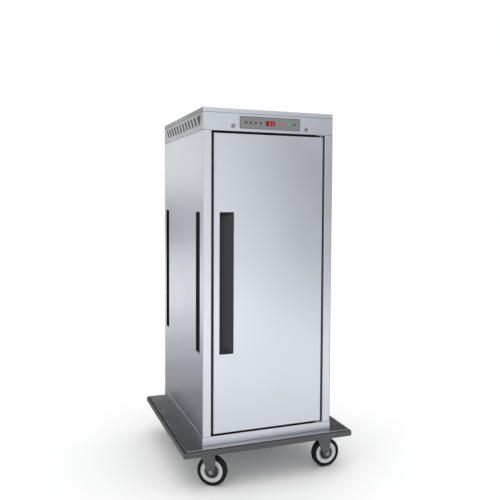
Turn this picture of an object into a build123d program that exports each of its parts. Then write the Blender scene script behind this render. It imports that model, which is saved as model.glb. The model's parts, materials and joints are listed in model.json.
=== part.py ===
from build123d import *
import math
import os

# Heated holding cabinet on a bumpered trolley deck with four swivel casters.
# Millimetres. The origin is on the floor under the middle of the deck, +Z is up
# and the door faces -Y.

# Cabinet body
body_width = 690.0
body_depth = 850.0
body_height = 1640.0
sheet = 1.2
lid_sheet = 1.0
bend = 1.5
base_rail_height = 43.0
rail_flange = 20.0
stile_face = 43.0
stile_flange = 24.0
top_box_height = 108.0
lid_lip = 21.0
lid_corner = 4.0
top_flange = 12.0
top_flange_setback = 16.0

# Holding cavity and its walls
seal_land = 27.0
liner_flange = 20.0
rear_wall = 60.0
roof_board = 42.0
duct_depth = 50.0
fan_space = 70.0

# Tray rack
tier_pitch = 80.0
first_tier = 60.0
tier_room = 80.0
runner_ledge = 26.0
runner_web = 20.0
runner_start = 25.0
runner_stop = 5.0
upright_width = 30.0
upright_thickness = 2.0

# Deck, bumper and chassis
deck_side = 92.0
deck_front = 40.0
deck_rear = 24.0
deck_sheet = 2.0
deck_drop = 32.0
deck_corner = 8.0
bumper_reach = 13.0
bumper_top_drop = 4.0
bumper_edge = 5.0
channel_height = 16.0
channel_web = 100.0
channel_sheet = 3.0
channel_lip = 18.0
brace_web = 60.0
brace_spacing = 180.0

# Casters
wheel_diameter = 150.0
wheel_headroom = 20.0
swivel_height = 18.0
pivot_side_setback = 127.0
front_pivot_setback = 32.0
rear_pivot_setback = 70.0
trail = 25.0
tyre_width = 34.0
tyre_depth = 19.0
tyre_shoulder = 5.0
bead_inset = 2.0
hub_width = 40.0
hub_radius = 18.0
axle_radius = 5.0
running_gap = 0.05
cover_room = 3.0
fork_sheet = 3.5
fork_bend = 6.0
fork_lead = 28.0
fork_tail = 46.0
fork_eye = 17.0
cover_radius = 35.0
seat_gap = 0.3
race_radius = 36.0
race_height = 4.0
race_step = 3.0
kingpin_radius = 6.0
kingpin_head = 4.0
plate_length = 105.0
plate_width = 85.0
plate_thickness = 3.0
bolt_spacing_x = 80.0
bolt_spacing_y = 60.0
bolt_radius = 4.0
bolt_head = 5.3
nut_height = 6.5
thread_tip = 1.5
hexagon_ratio = 1.9
front_left_heading = -33.0
front_right_heading = 0.0
rear_left_heading = 48.0
rear_right_heading = 132.0
brake_pin_inset = 8.0
brake_pin_drop = 12.0
brake_pin_radius = 3.0
brake_eye = 7.0
brake_sheet = 2.5
pedal_lead = 14.0
pedal_flat = 20.0
pedal_rise = 8.0
pedal_ear = 12.0
brake_reach = 32.0
brake_drop = 17.0

# Door
door_gap = 12.5
door_gap_low = 10.0
door_gap_high = 12.0
door_thickness = 38.0
door_edge_radius = 3.0
gasket_depth = 7.0
gasket_inset = 3.0
gasket_gap = 0.4
panel_rise = 9.0
panel_gap = 3.0
pivot_setback = 12.0
pivot_radius = 4.0
pivot_engagement = 30.0
bush_radius = 6.0
bush_edge = 2.0
bush_length = 40.0
hinge_plate = 3.0

# Grips
grip_length = 696.0
grip_low = 443.5
side_grip_width = 75.0
side_grip_margin = 6.7
rear_grip_setback = 42.0
door_grip_width = 73.0
door_grip_offset = 28.5
grip_backing = 10.0
grip_wall = 2.0
grip_floor = 20.0
grip_shelf = 3.0
grip_end_ramp = 30.0
grip_rim = 8.0
grip_rim_thickness = 1.5
grip_corner = 4.0

# Side vents
vent_low = 24.0
vent_height = 49.0
vent_slot = 30.0
vent_pitch = 61.0
vent_start = 64.0
vent_wedge_low = 8.0
vent_wedge_top = 27.0
vent_end_margin = 14.0

# Control panel
panel_width = 320.0
panel_height = 60.0
panel_low = 14.0
panel_thickness = 1.5
panel_rim = 2.0
panel_rim_rise = 0.6
panel_corner = 5.0
key_radius = 5.5
key_offsets = (-127.0, -101.5, -76.5, -51.5)
key_travel = 0.8
key_gap = 0.3
lamp_offsets = (52.8, 78.0, 102.7, 128.8)
lamp_radius = 3.0
display_width = 48.0
display_height = 23.0
lock_left_offset = -193.0
lock_right_offset = 195.0
lock_radius = 11.0
lock_barrel = 8.0
lamp_proud = 0.5
lens_step = 2.0
lens_gap = 0.3
key_proud = 1.6
key_collar = 1.5
key_stem = 8.0
key_stem_width = 4.0
key_flange = 14.0
lock_flange = 2.5
lock_wall = 2.0
lock_barrel_length = 18.0
lock_cam = 2.0
lock_cam_length = 24.0
lock_cam_width = 10.0
lock_key_slot = 1.6
box_side_margin = 10.0
box_low_margin = 8.0
box_depth = 45.0
box_wall = 2.0
box_gap = 0.3
box_setback = 4.0
card_setback = 12.0
card_thickness = 1.6
switch_gap = 0.1
switch_width = 6.0

# Fan, heater and power inlet
fan_setback = 150.0
fan_radius = 95.0
fan_blade_height = 38.0
fan_blades = 8
fan_floor_gap = 14.0
fan_sheet = 1.5
fan_hub_radius = 14.0
fan_hub_height = 14.0
shaft_radius = 4.0
inlet_radius = 75.0
heater_reach = 118.0
heater_sides = 8
heater_gap = 27.0
heater_tube = 4.0
tube_gap = 0.3
inlet_offset = -200.0
inlet_width = 28.0
inlet_height = 20.0
inlet_corner = 3.0
inlet_depth = 26.0
inlet_wall = 2.0
inlet_fit = 0.2
inlet_floor = 6.0
inlet_ear = 11.0
inlet_lip = 3.0
pin_spacing = 7.0
pin_width = 2.0
pin_height = 4.0
earth_rise = 3.0
motor_foot = 120.0
motor_foot_sheet = 3.0
motor_stack = 84.0
motor_stack_height = 30.0
motor_corner = 12.0
motor_standoff = 18.0
motor_height = 60.0
motor_bell = 33.0
motor_post = 5.0
motor_bore_end = 8.0
probe_head = 14.0
heater_end = 22.0
gland_height = 8.0
rear_slot_width = 50.0
rear_slot_height = 6.0
rear_slot_pitch = 70.0
rear_slot_start = 40.0
rear_slot_columns = 4
duct_slot_height = 8.0

# Planes that the pieces share
deck_width = body_width + 2 * deck_side
deck_depth = body_depth + deck_front + deck_rear
wheel_radius = wheel_diameter / 2
fork_top = wheel_diameter + wheel_headroom
caster_height = fork_top + swivel_height
fork_inside = hub_width + 2 * cover_room
caster_spread = deck_width / 2 - pivot_side_setback
brake_x = fork_tail - brake_pin_inset
brake_z = fork_top - brake_pin_drop
pivot_inset = bush_radius + bush_edge
grip_depth = door_thickness - grip_backing
gasket_width = seal_land - door_gap - gasket_inset
box_width = panel_width - 2 * box_side_margin
box_height = panel_height - 2 * box_low_margin
x_out = body_width / 2
x_skin = x_out - lid_sheet
x_board = x_skin - sheet
x_open = x_out - stile_face
x_cav = x_open - seal_land
x_liner = x_cav + sheet
y_front = -deck_depth / 2 + deck_front
y_rear = y_front + body_depth
y_fascia = y_front + lid_sheet
y_land = y_front + door_thickness + gasket_depth + gasket_gap
y_liner = y_land + sheet
y_board = y_liner + sheet + bend
y_skin_rear = y_rear - lid_sheet
y_back_skin = y_skin_rear - sheet
y_back_board = y_back_skin - sheet - bend
y_back = y_rear - rear_wall
y_duct = y_back - duct_depth
z_deck = caster_height + channel_height + deck_sheet
z_sill = z_deck + base_rail_height
z_top = z_deck + body_height
z_head = z_top - top_box_height
z_lid_under = z_top - lid_sheet
z_floor = z_sill + seal_land
z_roof = z_head - seal_land
z_tray = z_roof + sheet + roof_board
z_fan_plate = z_roof - fan_space
x_door = x_open - door_gap
z_door_low = z_sill + door_gap_low
z_door_high = z_head - door_gap_high
y_door_back = y_front + door_thickness
x_pivot = x_door - pivot_inset
y_pivot = y_front + pivot_setback
x_grip = -x_door + door_grip_offset
z_grip = z_deck + grip_low
grip_layer = grip_depth + grip_wall + 0.5
y_fan = y_duct - fan_setback
tier_count = int((z_fan_plate - z_floor - first_tier - tier_room) / tier_pitch) + 1
z_panel = z_head + panel_low + panel_height / 2

low_corner = (Align.MIN, Align.MIN, Align.MIN)


def block(x0, x1, y0, y1, z0, z1):
    return Pos(x0, y0, z0) * Box(x1 - x0, y1 - y0, z1 - z0, align=low_corner)


def plan_prism(face, z0, z1):
    return extrude(Pos(0, 0, z0) * face, amount=z1 - z0)


def side_prism(face, x0, x1):
    # The face is drawn as (y, z) and runs from x0 to x1.
    return extrude(Plane.YZ.offset(x0) * face, amount=x1 - x0)


def front_prism(face, y0, y1):
    # The face is drawn as (x, z) and runs from y0 to y1.
    return extrude(Plane.XZ.offset(-y1) * face, amount=y1 - y0)


def outline(*points):
    return make_face(Polyline(*points, close=True))


def folded(*points, thickness=sheet, radius=bend):
    # A bent sheet seen on edge: its outer face follows the points and the metal
    # lies on the right-hand side of the way they run.
    edge = FilletPolyline(*points, radius=radius + thickness)
    strip = offset(edge, amount=thickness, side=Side.RIGHT)
    return make_face(strip.edges())


def both_sides(solid):
    return [solid, mirror(solid, about=Plane.YZ)]


def cylinder_z(x, y, z0, z1, radius):
    return Pos(x, y, z0) * Cylinder(radius, z1 - z0, align=(Align.CENTER, Align.CENTER, Align.MIN))


def cylinder_y(x, z, y0, y1, radius):
    return front_prism(Pos(x, z) * Circle(radius), y0, y1)


def save(name, solids):
    if not isinstance(solids, (list, tuple)):
        solids = [solids]
    pieces = [piece for solid in solids for piece in solid.solids()]
    export_step(Compound(pieces), f"parts/{name}.step")


def base_rails():
    side = folded(
        (x_out - rail_flange, z_sill),
        (x_out, z_sill),
        (x_out, z_deck),
        (x_out - rail_flange, z_deck),
    )
    rail = front_prism(side, y_front + sheet, y_rear)
    rail -= block(x_out - rail_flange - 1, x_out - sheet, y_front, y_liner, z_deck, z_sill)
    mitre = Plane(origin=(x_out, y_rear, 0), z_dir=(1, -1, 0))
    rail = split(rail, bisect_by=mitre, keep=Keep.TOP)
    rear = folded(
        (y_rear - rail_flange, z_sill),
        (y_rear, z_sill),
        (y_rear, z_deck),
        (y_rear - rail_flange, z_deck),
    )
    back = side_prism(rear, -x_out, x_out)
    back = split(back, bisect_by=mitre, keep=Keep.BOTTOM)
    left_mitre = Plane(origin=(-x_out, y_rear, 0), z_dir=(-1, -1, 0))
    back = split(back, bisect_by=left_mitre, keep=Keep.BOTTOM)
    return both_sides(rail) + [back]


def front_crossrails():
    sill_face = [(y_front + rail_flange, z_deck), (y_front, z_deck), (y_front, z_sill)]
    full = folded(*sill_face, (y_land, z_sill), (y_land, z_floor))
    shelf = folded(*sill_face, (y_liner, z_sill))
    sill = side_prism(full, -x_cav, x_cav) + side_prism(shelf, -x_out + sheet, x_out - sheet)
    sill += block(-x_out, x_out, y_front, y_front + sheet, z_deck + bend, z_sill - sheet - bend)
    y_lip = y_fascia + sheet
    head_lip = z_head + top_flange
    head = folded((y_land, z_roof), (y_land, z_head), (y_lip, z_head), (y_lip, head_lip))
    ledge = folded((y_liner, z_head), (y_lip, z_head), (y_lip, head_lip))
    header = side_prism(head, -x_cav, x_cav) + side_prism(ledge, -x_board, x_board)
    return [sill, header]


def front_stiles():
    stile = folded(
        (x_board, y_front + stile_flange),
        (x_board, y_front),
        (x_open, y_front),
        (x_open, y_land),
        (x_cav, y_land),
    )
    return both_sides(plan_prism(stile, z_sill, z_head))


def side_grip_places():
    front = y_board + side_grip_margin
    rear = y_rear - rear_grip_setback - side_grip_width
    return (front, rear)


def grip_window(width):
    corner = Pos(width / 2, grip_length / 2)
    return corner * RectangleRounded(width, grip_length, grip_corner)


def side_panel():
    skin = folded(
        (x_skin - rail_flange, y_back_skin),
        (x_skin, y_back_skin),
        (x_skin, y_front),
    )
    panel = plan_prism(skin, z_sill, z_head)
    for y in side_grip_places():
        window = Pos(y, z_grip) * grip_window(side_grip_width)
        panel -= side_prism(window, x_board - 1, x_skin + 1)
    return panel


def grip_cup(width):
    # Drawn with the mouth on z = 0, the depth along -z, the width along x and
    # the length along y. The deep channel is at x = 0 and the ramp rises away.
    across = outline(
        (0, 0),
        (0, -grip_depth),
        (grip_floor, -grip_depth),
        (width, -grip_shelf),
        (width, 0),
    )
    along = outline(
        (0, 0),
        (grip_end_ramp, -grip_depth),
        (grip_length - grip_end_ramp, -grip_depth),
        (grip_length, 0),
    )
    deep = across.vertices().filter_by_position(Axis.Y, -grip_depth, -grip_depth)
    pocket = fillet(deep, grip_corner)
    shell = offset(pocket, amount=grip_wall, kind=Kind.INTERSECTION)

    def trough(profile, ends):
        body = extrude(Plane.XZ * profile, amount=-grip_length - 2 * grip_wall)
        body = Pos(0, -grip_wall, 0) * body
        cap = extrude(Plane.YZ * ends, amount=width + 2 * grip_wall)
        return body & (Pos(-grip_wall, 0, 0) * cap)

    outer = trough(shell, offset(along, amount=grip_wall, kind=Kind.INTERSECTION))
    inner = trough(pocket, along)
    rim_width = width + 2 * grip_rim
    rim_length = grip_length + 2 * grip_rim
    rim_face = Pos(width / 2, grip_length / 2) * Rectangle(rim_width, rim_length)
    rim = extrude(rim_face, amount=-grip_rim_thickness)
    below = Pos(-grip_rim, -grip_rim, -grip_depth - 3 * grip_wall)
    room = Box(rim_width, rim_length, grip_depth + 3 * grip_wall, align=low_corner)
    return ((outer & (below * room)) + rim) - inner


def side_grips():
    cup = grip_cup(side_grip_width)
    front, rear = side_grip_places()
    outward = Plane(origin=(x_board, front, z_grip), x_dir=(0, 1, 0), z_dir=(1, 0, 0))
    front_cup = outward * cup
    turned = mirror(cup, about=Plane.YZ)
    opposite = Plane(
        origin=(x_board, rear + side_grip_width, z_grip), x_dir=(0, 1, 0), z_dir=(1, 0, 0)
    )
    rear_cup = opposite * turned
    return both_sides(front_cup) + both_sides(rear_cup)


def cavity_liner():
    side = folded(
        (x_cav + liner_flange, y_liner),
        (x_cav, y_liner),
        (x_cav, y_back + sheet),
    )
    sides = both_sides(plan_prism(side, z_floor - sheet, z_roof + sheet))
    floor = folded((y_liner, z_floor - liner_flange), (y_liner, z_floor), (y_back, z_floor))
    roof = folded((y_back, z_roof), (y_liner, z_roof), (y_liner, z_roof + liner_flange))
    floor_panel = side_prism(floor, -x_cav, x_cav)
    roof_panel = side_prism(roof, -x_cav, x_cav) - roof_holes(z_roof - 1, z_roof + 2 * sheet)
    back = block(-x_cav, x_cav, y_back, y_back + sheet, z_floor - sheet, z_roof + sheet)
    return sides + [floor_panel, roof_panel, back]


def heater_leg_places():
    y = y_fan - heater_reach
    return ((-heater_gap, y), (heater_gap, y))


def probe_place():
    return (-x_cav * 0.65, y_liner + 3 * liner_flange)


def roof_holes(z0, z1):
    holes = cylinder_z(0, y_fan, z0, z1, shaft_radius * 2)
    for x, y in heater_leg_places():
        holes += cylinder_z(x, y, z0, z1, heater_tube + tube_gap)
    x, y = probe_place()
    return holes + cylinder_z(x, y, z0, z1, heater_tube - 1 + tube_gap)


def wall_insulation():
    boards = []
    low_edge = x_out - rail_flange
    boards.append(block(-low_edge, low_edge, y_board, y_rear - rail_flange, z_deck, z_sill - sheet))
    z_under = z_floor - sheet
    boards.append(block(-x_liner, x_liner, y_board, y_back_board, z_sill, z_under))
    boards.append(block(-x_liner, x_liner, y_back + sheet, y_back_board, z_under, z_roof + sheet))
    roof = block(-x_liner, x_liner, y_board, y_back_board, z_roof + sheet, z_tray)
    boards.append(roof - roof_holes(z_roof, z_tray + 1))
    core = block(
        x_open + sheet, x_board - sheet, y_front + sheet + bend, y_land + sheet, z_sill, z_head
    )
    boards += both_sides(core)
    x_layer = x_board - grip_layer
    boards += both_sides(block(x_liner, x_layer, y_board, y_back_board, z_sill, z_tray))
    z_cup = z_grip - grip_rim
    z_cup_top = z_grip + grip_length + grip_rim
    edge = y_board
    for y in side_grip_places():
        cup_front = y - grip_rim
        cup_rear = y + side_grip_width + grip_rim
        if cup_front > edge:
            boards += both_sides(block(x_layer, x_board, edge, cup_front, z_sill, z_tray))
        boards += both_sides(block(x_layer, x_board, cup_front, cup_rear, z_sill, z_cup))
        boards += both_sides(block(x_layer, x_board, cup_front, cup_rear, z_cup_top, z_tray))
        edge = cup_rear
    boards += both_sides(block(x_layer, x_board, edge, y_back_board, z_sill, z_tray))
    return boards


def tier_levels():
    return [z_floor + first_tier + tier_pitch * level for level in range(tier_count)]


def runner_span():
    return (y_liner + runner_start, y_duct - runner_stop)


def rack_uprights():
    start, end = runner_span()
    top = tier_levels()[-1] + runner_web
    x_face = x_cav - upright_thickness
    bars = []
    for y in (start + upright_width, (start + end) / 2, end - upright_width):
        half = upright_width / 2
        bars += both_sides(block(x_face, x_cav, y - half, y + half, z_floor, top))
    return bars


def tray_runners():
    start, end = runner_span()
    x_face = x_cav - upright_thickness
    runners = []
    for z in tier_levels():
        edge = outline(
            (x_face - runner_ledge, z),
            (x_face - bend, z),
            (x_face, z - bend),
            (x_face, z - runner_web),
            (x_face - sheet, z - runner_web),
            (x_face - sheet, z - sheet),
            (x_face - runner_ledge, z - sheet),
        )
        runners += both_sides(front_prism(edge, start, end))
    return runners


def rear_duct_panel():
    x_side = x_cav - sheet
    channel = folded(
        (x_side, y_back),
        (x_side, y_duct),
        (-x_side, y_duct),
        (-x_side, y_back),
    )
    panel = plan_prism(channel, z_floor, z_fan_plate)
    slot_length = x_cav / 2
    for z in tier_levels():
        if z + tier_pitch / 2 < z_fan_plate - duct_slot_height:
            for x in (-x_cav / 2, x_cav / 2):
                slot = Pos(x, z + tier_pitch / 2) * Rectangle(slot_length, duct_slot_height)
                panel -= front_prism(slot, y_duct - 1, y_duct + 2 * sheet)
    return panel


def fan_guard_plate():
    x_side = x_cav - sheet
    y_nose = y_fan - heater_reach - 5 * heater_tube
    plate = folded((y_back, z_fan_plate), (y_nose, z_fan_plate), (y_nose, z_roof))
    body = side_prism(plate, -x_side, x_side)
    slot_edge = x_side - duct_depth / 2
    y_slot = y_duct + 2 * bend
    body -= block(-slot_edge, slot_edge, y_slot, y_back - bend, z_fan_plate - 1, z_fan_plate + 2)
    guard = Circle(inlet_radius)
    for ring in (0.95, 0.62, 0.3):
        guard -= Circle(inlet_radius * ring) - Circle(inlet_radius * (ring - 0.27))
    spoke = Rectangle(2 * inlet_radius, grip_corner)
    guard += (spoke + Rot(0, 0, 90) * spoke) & Circle(inlet_radius)
    hole = cylinder_z(0, y_fan, z_fan_plate - 1, z_fan_plate + 2 * sheet, inlet_radius)
    body -= hole
    return body + plan_prism(Pos(0, y_fan) * guard, z_fan_plate, z_fan_plate + sheet)


def machine_tray():
    rise = z_tray + top_flange
    pan = folded((x_board, rise), (x_board, z_tray), (-x_board, z_tray), (-x_board, rise))
    tray = front_prism(pan, y_liner, y_back_skin)
    return tray - roof_holes(z_tray - 1, z_tray + 2 * sheet)


def control_window():
    low = z_head + panel_low + (panel_height - box_height) / 2
    return (low, low + box_height)


def lock_places():
    centre = z_head + panel_low
    return ((lock_left_offset, centre + 10.5), (lock_right_offset, centre + 8.5))


def fascia():
    edge = folded(
        (y_fascia, z_head),
        (y_fascia, z_lid_under),
        (y_fascia + top_flange, z_lid_under),
    )
    face = side_prism(edge, -x_board, x_board)
    low, high = control_window()
    half = box_width / 2
    face -= block(-half, half, y_front, y_fascia + 2 * sheet, low, high)
    for x, z in lock_places():
        face -= cylinder_y(x, z, y_front, y_fascia + 2 * sheet, lock_barrel)
    return face


def vent_outlines():
    low = z_head + vent_low
    high = low + vent_height
    slots = []
    start = y_front + vent_start
    first_end = start + vent_wedge_low
    slots.append(
        outline(
            (start, low),
            (first_end, low),
            (first_end + vent_height, high),
            (start - vent_wedge_top, high),
        )
    )
    y = first_end + vent_pitch - vent_slot
    while y + vent_slot + vent_height < y_back_skin - vent_end_margin:
        slots.append(
            outline(
                (y, low),
                (y + vent_slot, low),
                (y + vent_slot + vent_height, high),
                (y + vent_height, high),
            )
        )
        y += vent_pitch
    return slots


def vent_panels():
    edge = folded((x_skin - top_flange, z_lid_under), (x_skin, z_lid_under), (x_skin, z_head))
    panel = front_prism(edge, y_fascia, y_back_skin)
    notch_end = y_fascia + top_flange_setback
    panel -= block(x_skin - 2 * top_flange, x_board, y_front, notch_end, z_head, z_top)
    panel -= block(
        x_skin - 2 * top_flange, x_board, y_back_skin - top_flange_setback, y_rear, z_head, z_top
    )
    for slot in vent_outlines():
        panel -= side_prism(slot, x_board - 1, x_skin + 1)
    return both_sides(panel)


def inlet_place():
    return (inlet_offset, z_head + top_box_height / 2)


def top_rear_panel():
    edge = folded(
        (y_skin_rear - top_flange, z_lid_under),
        (y_skin_rear, z_lid_under),
        (y_skin_rear, z_head),
    )
    panel = side_prism(edge, -x_skin, x_skin)
    y_notch = y_rear - top_flange_setback
    for corner in both_sides(block(x_board - bend, x_out, y_notch, y_back_skin, z_head, z_top)):
        panel -= corner
    x, z = inlet_place()
    window = Pos(x, z) * RectangleRounded(inlet_width, inlet_height, inlet_corner)
    panel -= front_prism(window, y_back_skin - 1, y_rear)
    for column in range(rear_slot_columns):
        for row in (-1, 0, 1):
            slot_x = rear_slot_start + rear_slot_pitch * column
            slot_z = z + row * 3 * rear_slot_height
            slot = Pos(slot_x, slot_z) * Rectangle(rear_slot_width, rear_slot_height)
            panel -= front_prism(slot, y_back_skin - 1, y_rear)
    return panel


def rear_panel():
    return block(-x_skin, x_skin, y_back_skin, y_skin_rear, z_sill, z_head)


def top_lid():
    middle = (y_front + y_rear) / 2
    pan = plan_prism(
        Pos(0, middle) * RectangleRounded(body_width, body_depth, lid_corner), z_top - lid_lip, z_top
    )
    under = plan_prism(
        Pos(0, middle) * Rectangle(2 * x_skin, body_depth - 2 * lid_sheet),
        z_top - lid_lip,
        z_lid_under,
    )
    top_edges = pan.faces().sort_by(Axis.Z)[-1].edges()
    return chamfer(top_edges, lid_sheet * 0.8) - under


def power_inlet():
    x, z = inlet_place()
    y_face = y_skin_rear + panel_rim
    y_bottom = y_skin_rear - inlet_depth
    flange = RectangleRounded(inlet_width + 2 * inlet_ear, inlet_height + 2 * inlet_lip, inlet_corner)
    body = front_prism(Pos(x, z) * flange, y_skin_rear, y_face)
    width = inlet_width - 2 * inlet_fit
    height = inlet_height - 2 * inlet_fit
    shroud = RectangleRounded(width, height, inlet_corner)
    body += front_prism(Pos(x, z) * shroud, y_bottom, y_face)
    mouth = RectangleRounded(width - 2 * inlet_wall, height - 2 * inlet_wall, inlet_corner / 2)
    body -= front_prism(Pos(x, z) * mouth, y_bottom + inlet_floor, y_face + 1)
    for step in (-1, 0, 1):
        rise = earth_rise if step == 0 else 0
        pin = Pos(x + pin_spacing * step, z - 1 + rise) * Rectangle(pin_width, pin_height)
        body += front_prism(pin, y_bottom + 1, y_face - inlet_floor)
    return body


def panel_hole(x, radius):
    return cylinder_y(x, z_panel, y_front - panel_width, y_fascia, radius)


def control_panel():
    plate_face = Pos(0, z_panel) * RectangleRounded(panel_width, panel_height, panel_corner)
    plate = front_prism(plate_face, y_fascia - panel_thickness, y_fascia)
    field = RectangleRounded(
        panel_width - 2 * panel_rim, panel_height - 2 * panel_rim, panel_corner - panel_rim
    )
    y_rim = y_fascia - panel_thickness - panel_rim_rise
    plate += front_prism(plate_face - Pos(0, z_panel) * field, y_rim, y_fascia)
    for x in key_offsets:
        plate -= panel_hole(x, key_radius + key_gap)
    for x in lamp_offsets:
        plate -= panel_hole(x, lamp_radius)
    window = Pos(0, z_panel) * Rectangle(display_width, display_height)
    return plate - front_prism(window, y_front - panel_width, y_fascia)


def display_window():
    window = Pos(0, z_panel) * Rectangle(display_width, display_height)
    step = Pos(0, z_panel) * Rectangle(display_width + 2 * lens_step, display_height + 2 * lens_step)
    lens = front_prism(window, y_fascia - panel_thickness, y_fascia)
    return lens + front_prism(step, y_fascia, y_fascia + panel_thickness)


def indicator_lenses():
    lenses = []
    y_tip = y_fascia - panel_thickness - lamp_proud
    for x in lamp_offsets:
        lens = cylinder_y(x, z_panel, y_tip, y_fascia, lamp_radius)
        flange = Pos(x, z_panel) * Rectangle(2 * lamp_radius + lens_step, 2 * lamp_radius + lens_step)
        collar = front_prism(flange, y_fascia, y_fascia + panel_thickness)
        lenses.append(lens + collar)
    return lenses


def key_cap(x):
    y_tip = y_fascia - panel_thickness - key_proud
    y_collar = y_fascia + key_gap
    y_stem = y_collar + key_collar
    flange = Pos(x, z_panel) * Rectangle(key_flange, key_flange)
    stem = Pos(x, z_panel) * Rectangle(key_stem_width, key_stem_width)
    cap = cylinder_y(x, z_panel, y_tip, y_collar, key_radius)
    cap += front_prism(flange, y_collar, y_stem)
    return cap + front_prism(stem, y_stem, y_fascia + key_stem)


def control_box():
    low, high = control_window()
    half = box_width / 2 - box_gap
    z0 = low + box_gap
    z1 = high - box_gap
    x_in = half - box_wall
    y_mouth = y_fascia + box_setback
    y_end = y_fascia + box_depth
    shell = block(-half, half, y_mouth, y_end, z0, z1)
    shell -= block(-x_in, x_in, y_mouth - 1, y_end - box_wall, z0 + box_wall, z1 - box_wall)
    y_flange = y_fascia + sheet
    over = box_side_margin
    z_low = z0 - box_low_margin / 2
    z_high = z1 + box_low_margin
    flange = block(-half - over, half + over, y_flange, y_mouth, z_low, z_high)
    flange -= block(-half, half, y_fascia, y_mouth, z0, z1)
    y_card = y_fascia + card_setback
    card = block(-x_in, x_in, y_card, y_card + card_thickness, z0 + box_wall, z1 - box_wall)
    y_switch = y_fascia + key_stem + key_travel + switch_gap
    for x in key_offsets:
        card += front_prism(Pos(x, z_panel) * Rectangle(switch_width, switch_width), y_switch, y_card)
    y_lamp = y_fascia + panel_thickness + lens_gap
    for x in lamp_offsets:
        lamp = Pos(x, z_panel) * Rectangle(2 * lamp_radius, 2 * lamp_radius)
        card += front_prism(lamp, y_lamp, y_card)
    window = Pos(0, z_panel) * Rectangle(display_width, display_height)
    module = front_prism(window, y_lamp, y_card)
    return [shell + flange, card + module]


def lock_housings():
    housings = []
    y_back_end = y_fascia + lock_barrel_length
    for x, z in lock_places():
        ring = cylinder_y(x, z, y_fascia - lock_flange, y_fascia, lock_radius)
        ring = chamfer(ring.edges().sort_by(Axis.Y)[0], lock_flange / 3)
        barrel = cylinder_y(x, z, y_fascia, y_back_end, lock_barrel)
        bore = cylinder_y(x, z, y_front - lock_flange, y_back_end + 1, lock_barrel - lock_wall)
        housings.append((ring + barrel) - bore)
    return housings


def lock_plug(place):
    x, z = place
    radius = lock_barrel - lock_wall - running_gap
    y_cam = y_fascia + lock_barrel_length + seat_gap
    y_tip = y_fascia - lock_flange + seat_gap
    plug = cylinder_y(x, z, y_tip, y_cam + lock_cam + thread_tip, radius)
    slot = Pos(x, z) * Rectangle(radius * 1.5, lock_key_slot)
    plug -= front_prism(slot, y_tip - 1, y_tip + lock_key_slot)
    reach = (lock_cam_length - lock_cam_width) / 2
    cam = Pos(x, z - reach) * Rectangle(lock_cam_width, lock_cam_length)
    return plug + front_prism(cam, y_cam, y_cam + lock_cam)


def fan_motor():
    z0 = z_tray + sheet
    z_stack = z0 + motor_standoff
    centre = Pos(0, y_fan)
    foot = centre * RectangleRounded(motor_foot, motor_foot, motor_corner)
    body = plan_prism(foot, z0, z0 + motor_foot_sheet)
    stack = centre * RectangleRounded(motor_stack, motor_stack, motor_corner)
    body += plan_prism(stack, z_stack, z_stack + motor_stack_height)
    reach = motor_stack / 2 - 1.5 * motor_post
    for x in (-reach, reach):
        for y in (-reach, reach):
            post = Pos(x, y_fan + y) * Rectangle(2 * motor_post, 2 * motor_post)
            body += plan_prism(post, z0, z_stack)
    body += cylinder_z(0, y_fan, z_stack, z0 + motor_height, motor_bell)
    bore_end = z0 + motor_height - motor_bore_end
    return body - cylinder_z(0, y_fan, z0 - 1, bore_end, shaft_radius + running_gap)


def fan_impeller():
    # A backward-curved wheel that hangs on the motor's shaft and draws air up
    # through the guard.
    z_low = z_fan_plate + sheet + fan_floor_gap
    z_high = z_low + fan_blade_height
    wheel = cylinder_z(0, y_fan, z_high, z_high + fan_sheet, fan_radius)
    ring = Circle(fan_radius) - Circle(fan_radius * 0.78)
    wheel += plan_prism(Pos(0, y_fan) * ring, z_low - fan_sheet, z_low)
    root = (fan_radius * 0.45, 0)
    middle = (fan_radius * 0.75, fan_radius * 0.13)
    tip = (fan_radius * 0.92, fan_radius * 0.36)
    arc = ThreePointArc(root, middle, tip)
    strip = make_face(offset(arc, amount=fan_sheet, side=Side.LEFT).edges())
    for index in range(fan_blades):
        turn = Rot(0, 0, 360 * index / fan_blades)
        blade = Pos(0, y_fan) * (turn * strip)
        wheel += plan_prism(blade, z_low - fan_sheet / 2, z_high + fan_sheet / 2)
    z_hub = z_high - fan_hub_height
    wheel += cylinder_z(0, y_fan, z_hub, z_high + fan_hub_height / 2, fan_hub_radius)
    shaft_end = z_tray + sheet + motor_height - motor_bore_end - 2 * seat_gap
    return wheel + cylinder_z(0, y_fan, z_hub, shaft_end, shaft_radius)


def heater_element():
    # A tube bent into a loop round the impeller, flat side to the front, whose
    # two ends rise through the roof.
    z_loop = z_fan_plate + sheet + fan_floor_gap + fan_blade_height / 2
    z_end = z_tray + heater_end
    left, right = heater_leg_places()
    corner_radius = heater_reach / math.cos(math.pi / heater_sides)
    points = [(*right, z_end), (*right, z_loop)]
    for side in range(heater_sides):
        angle = 2 * math.pi * (side + 0.5) / heater_sides - math.pi / 2
        x = corner_radius * math.cos(angle)
        points.append((x, y_fan + corner_radius * math.sin(angle), z_loop))
    points += [(*left, z_loop), (*left, z_end)]
    section = Plane(origin=points[0], z_dir=(0, 0, -1)) * Circle(heater_tube)
    return sweep(section, path=Polyline(*points), transition=Transition.RIGHT)


def temperature_probe():
    x, y = probe_place()
    probe = cylinder_z(x, y, z_roof - fan_space * 0.75, z_tray + probe_head, heater_tube - 1)
    z_gland = z_tray + sheet
    hexagon = Pos(x, y) * RegularPolygon(2 * heater_tube, 6)
    gland = plan_prism(hexagon, z_gland, z_gland + gland_height)
    return probe + gland


def deck_outline(grow=0.0):
    return RectangleRounded(deck_width + 2 * grow, deck_depth + 2 * grow, deck_corner + grow)


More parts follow.
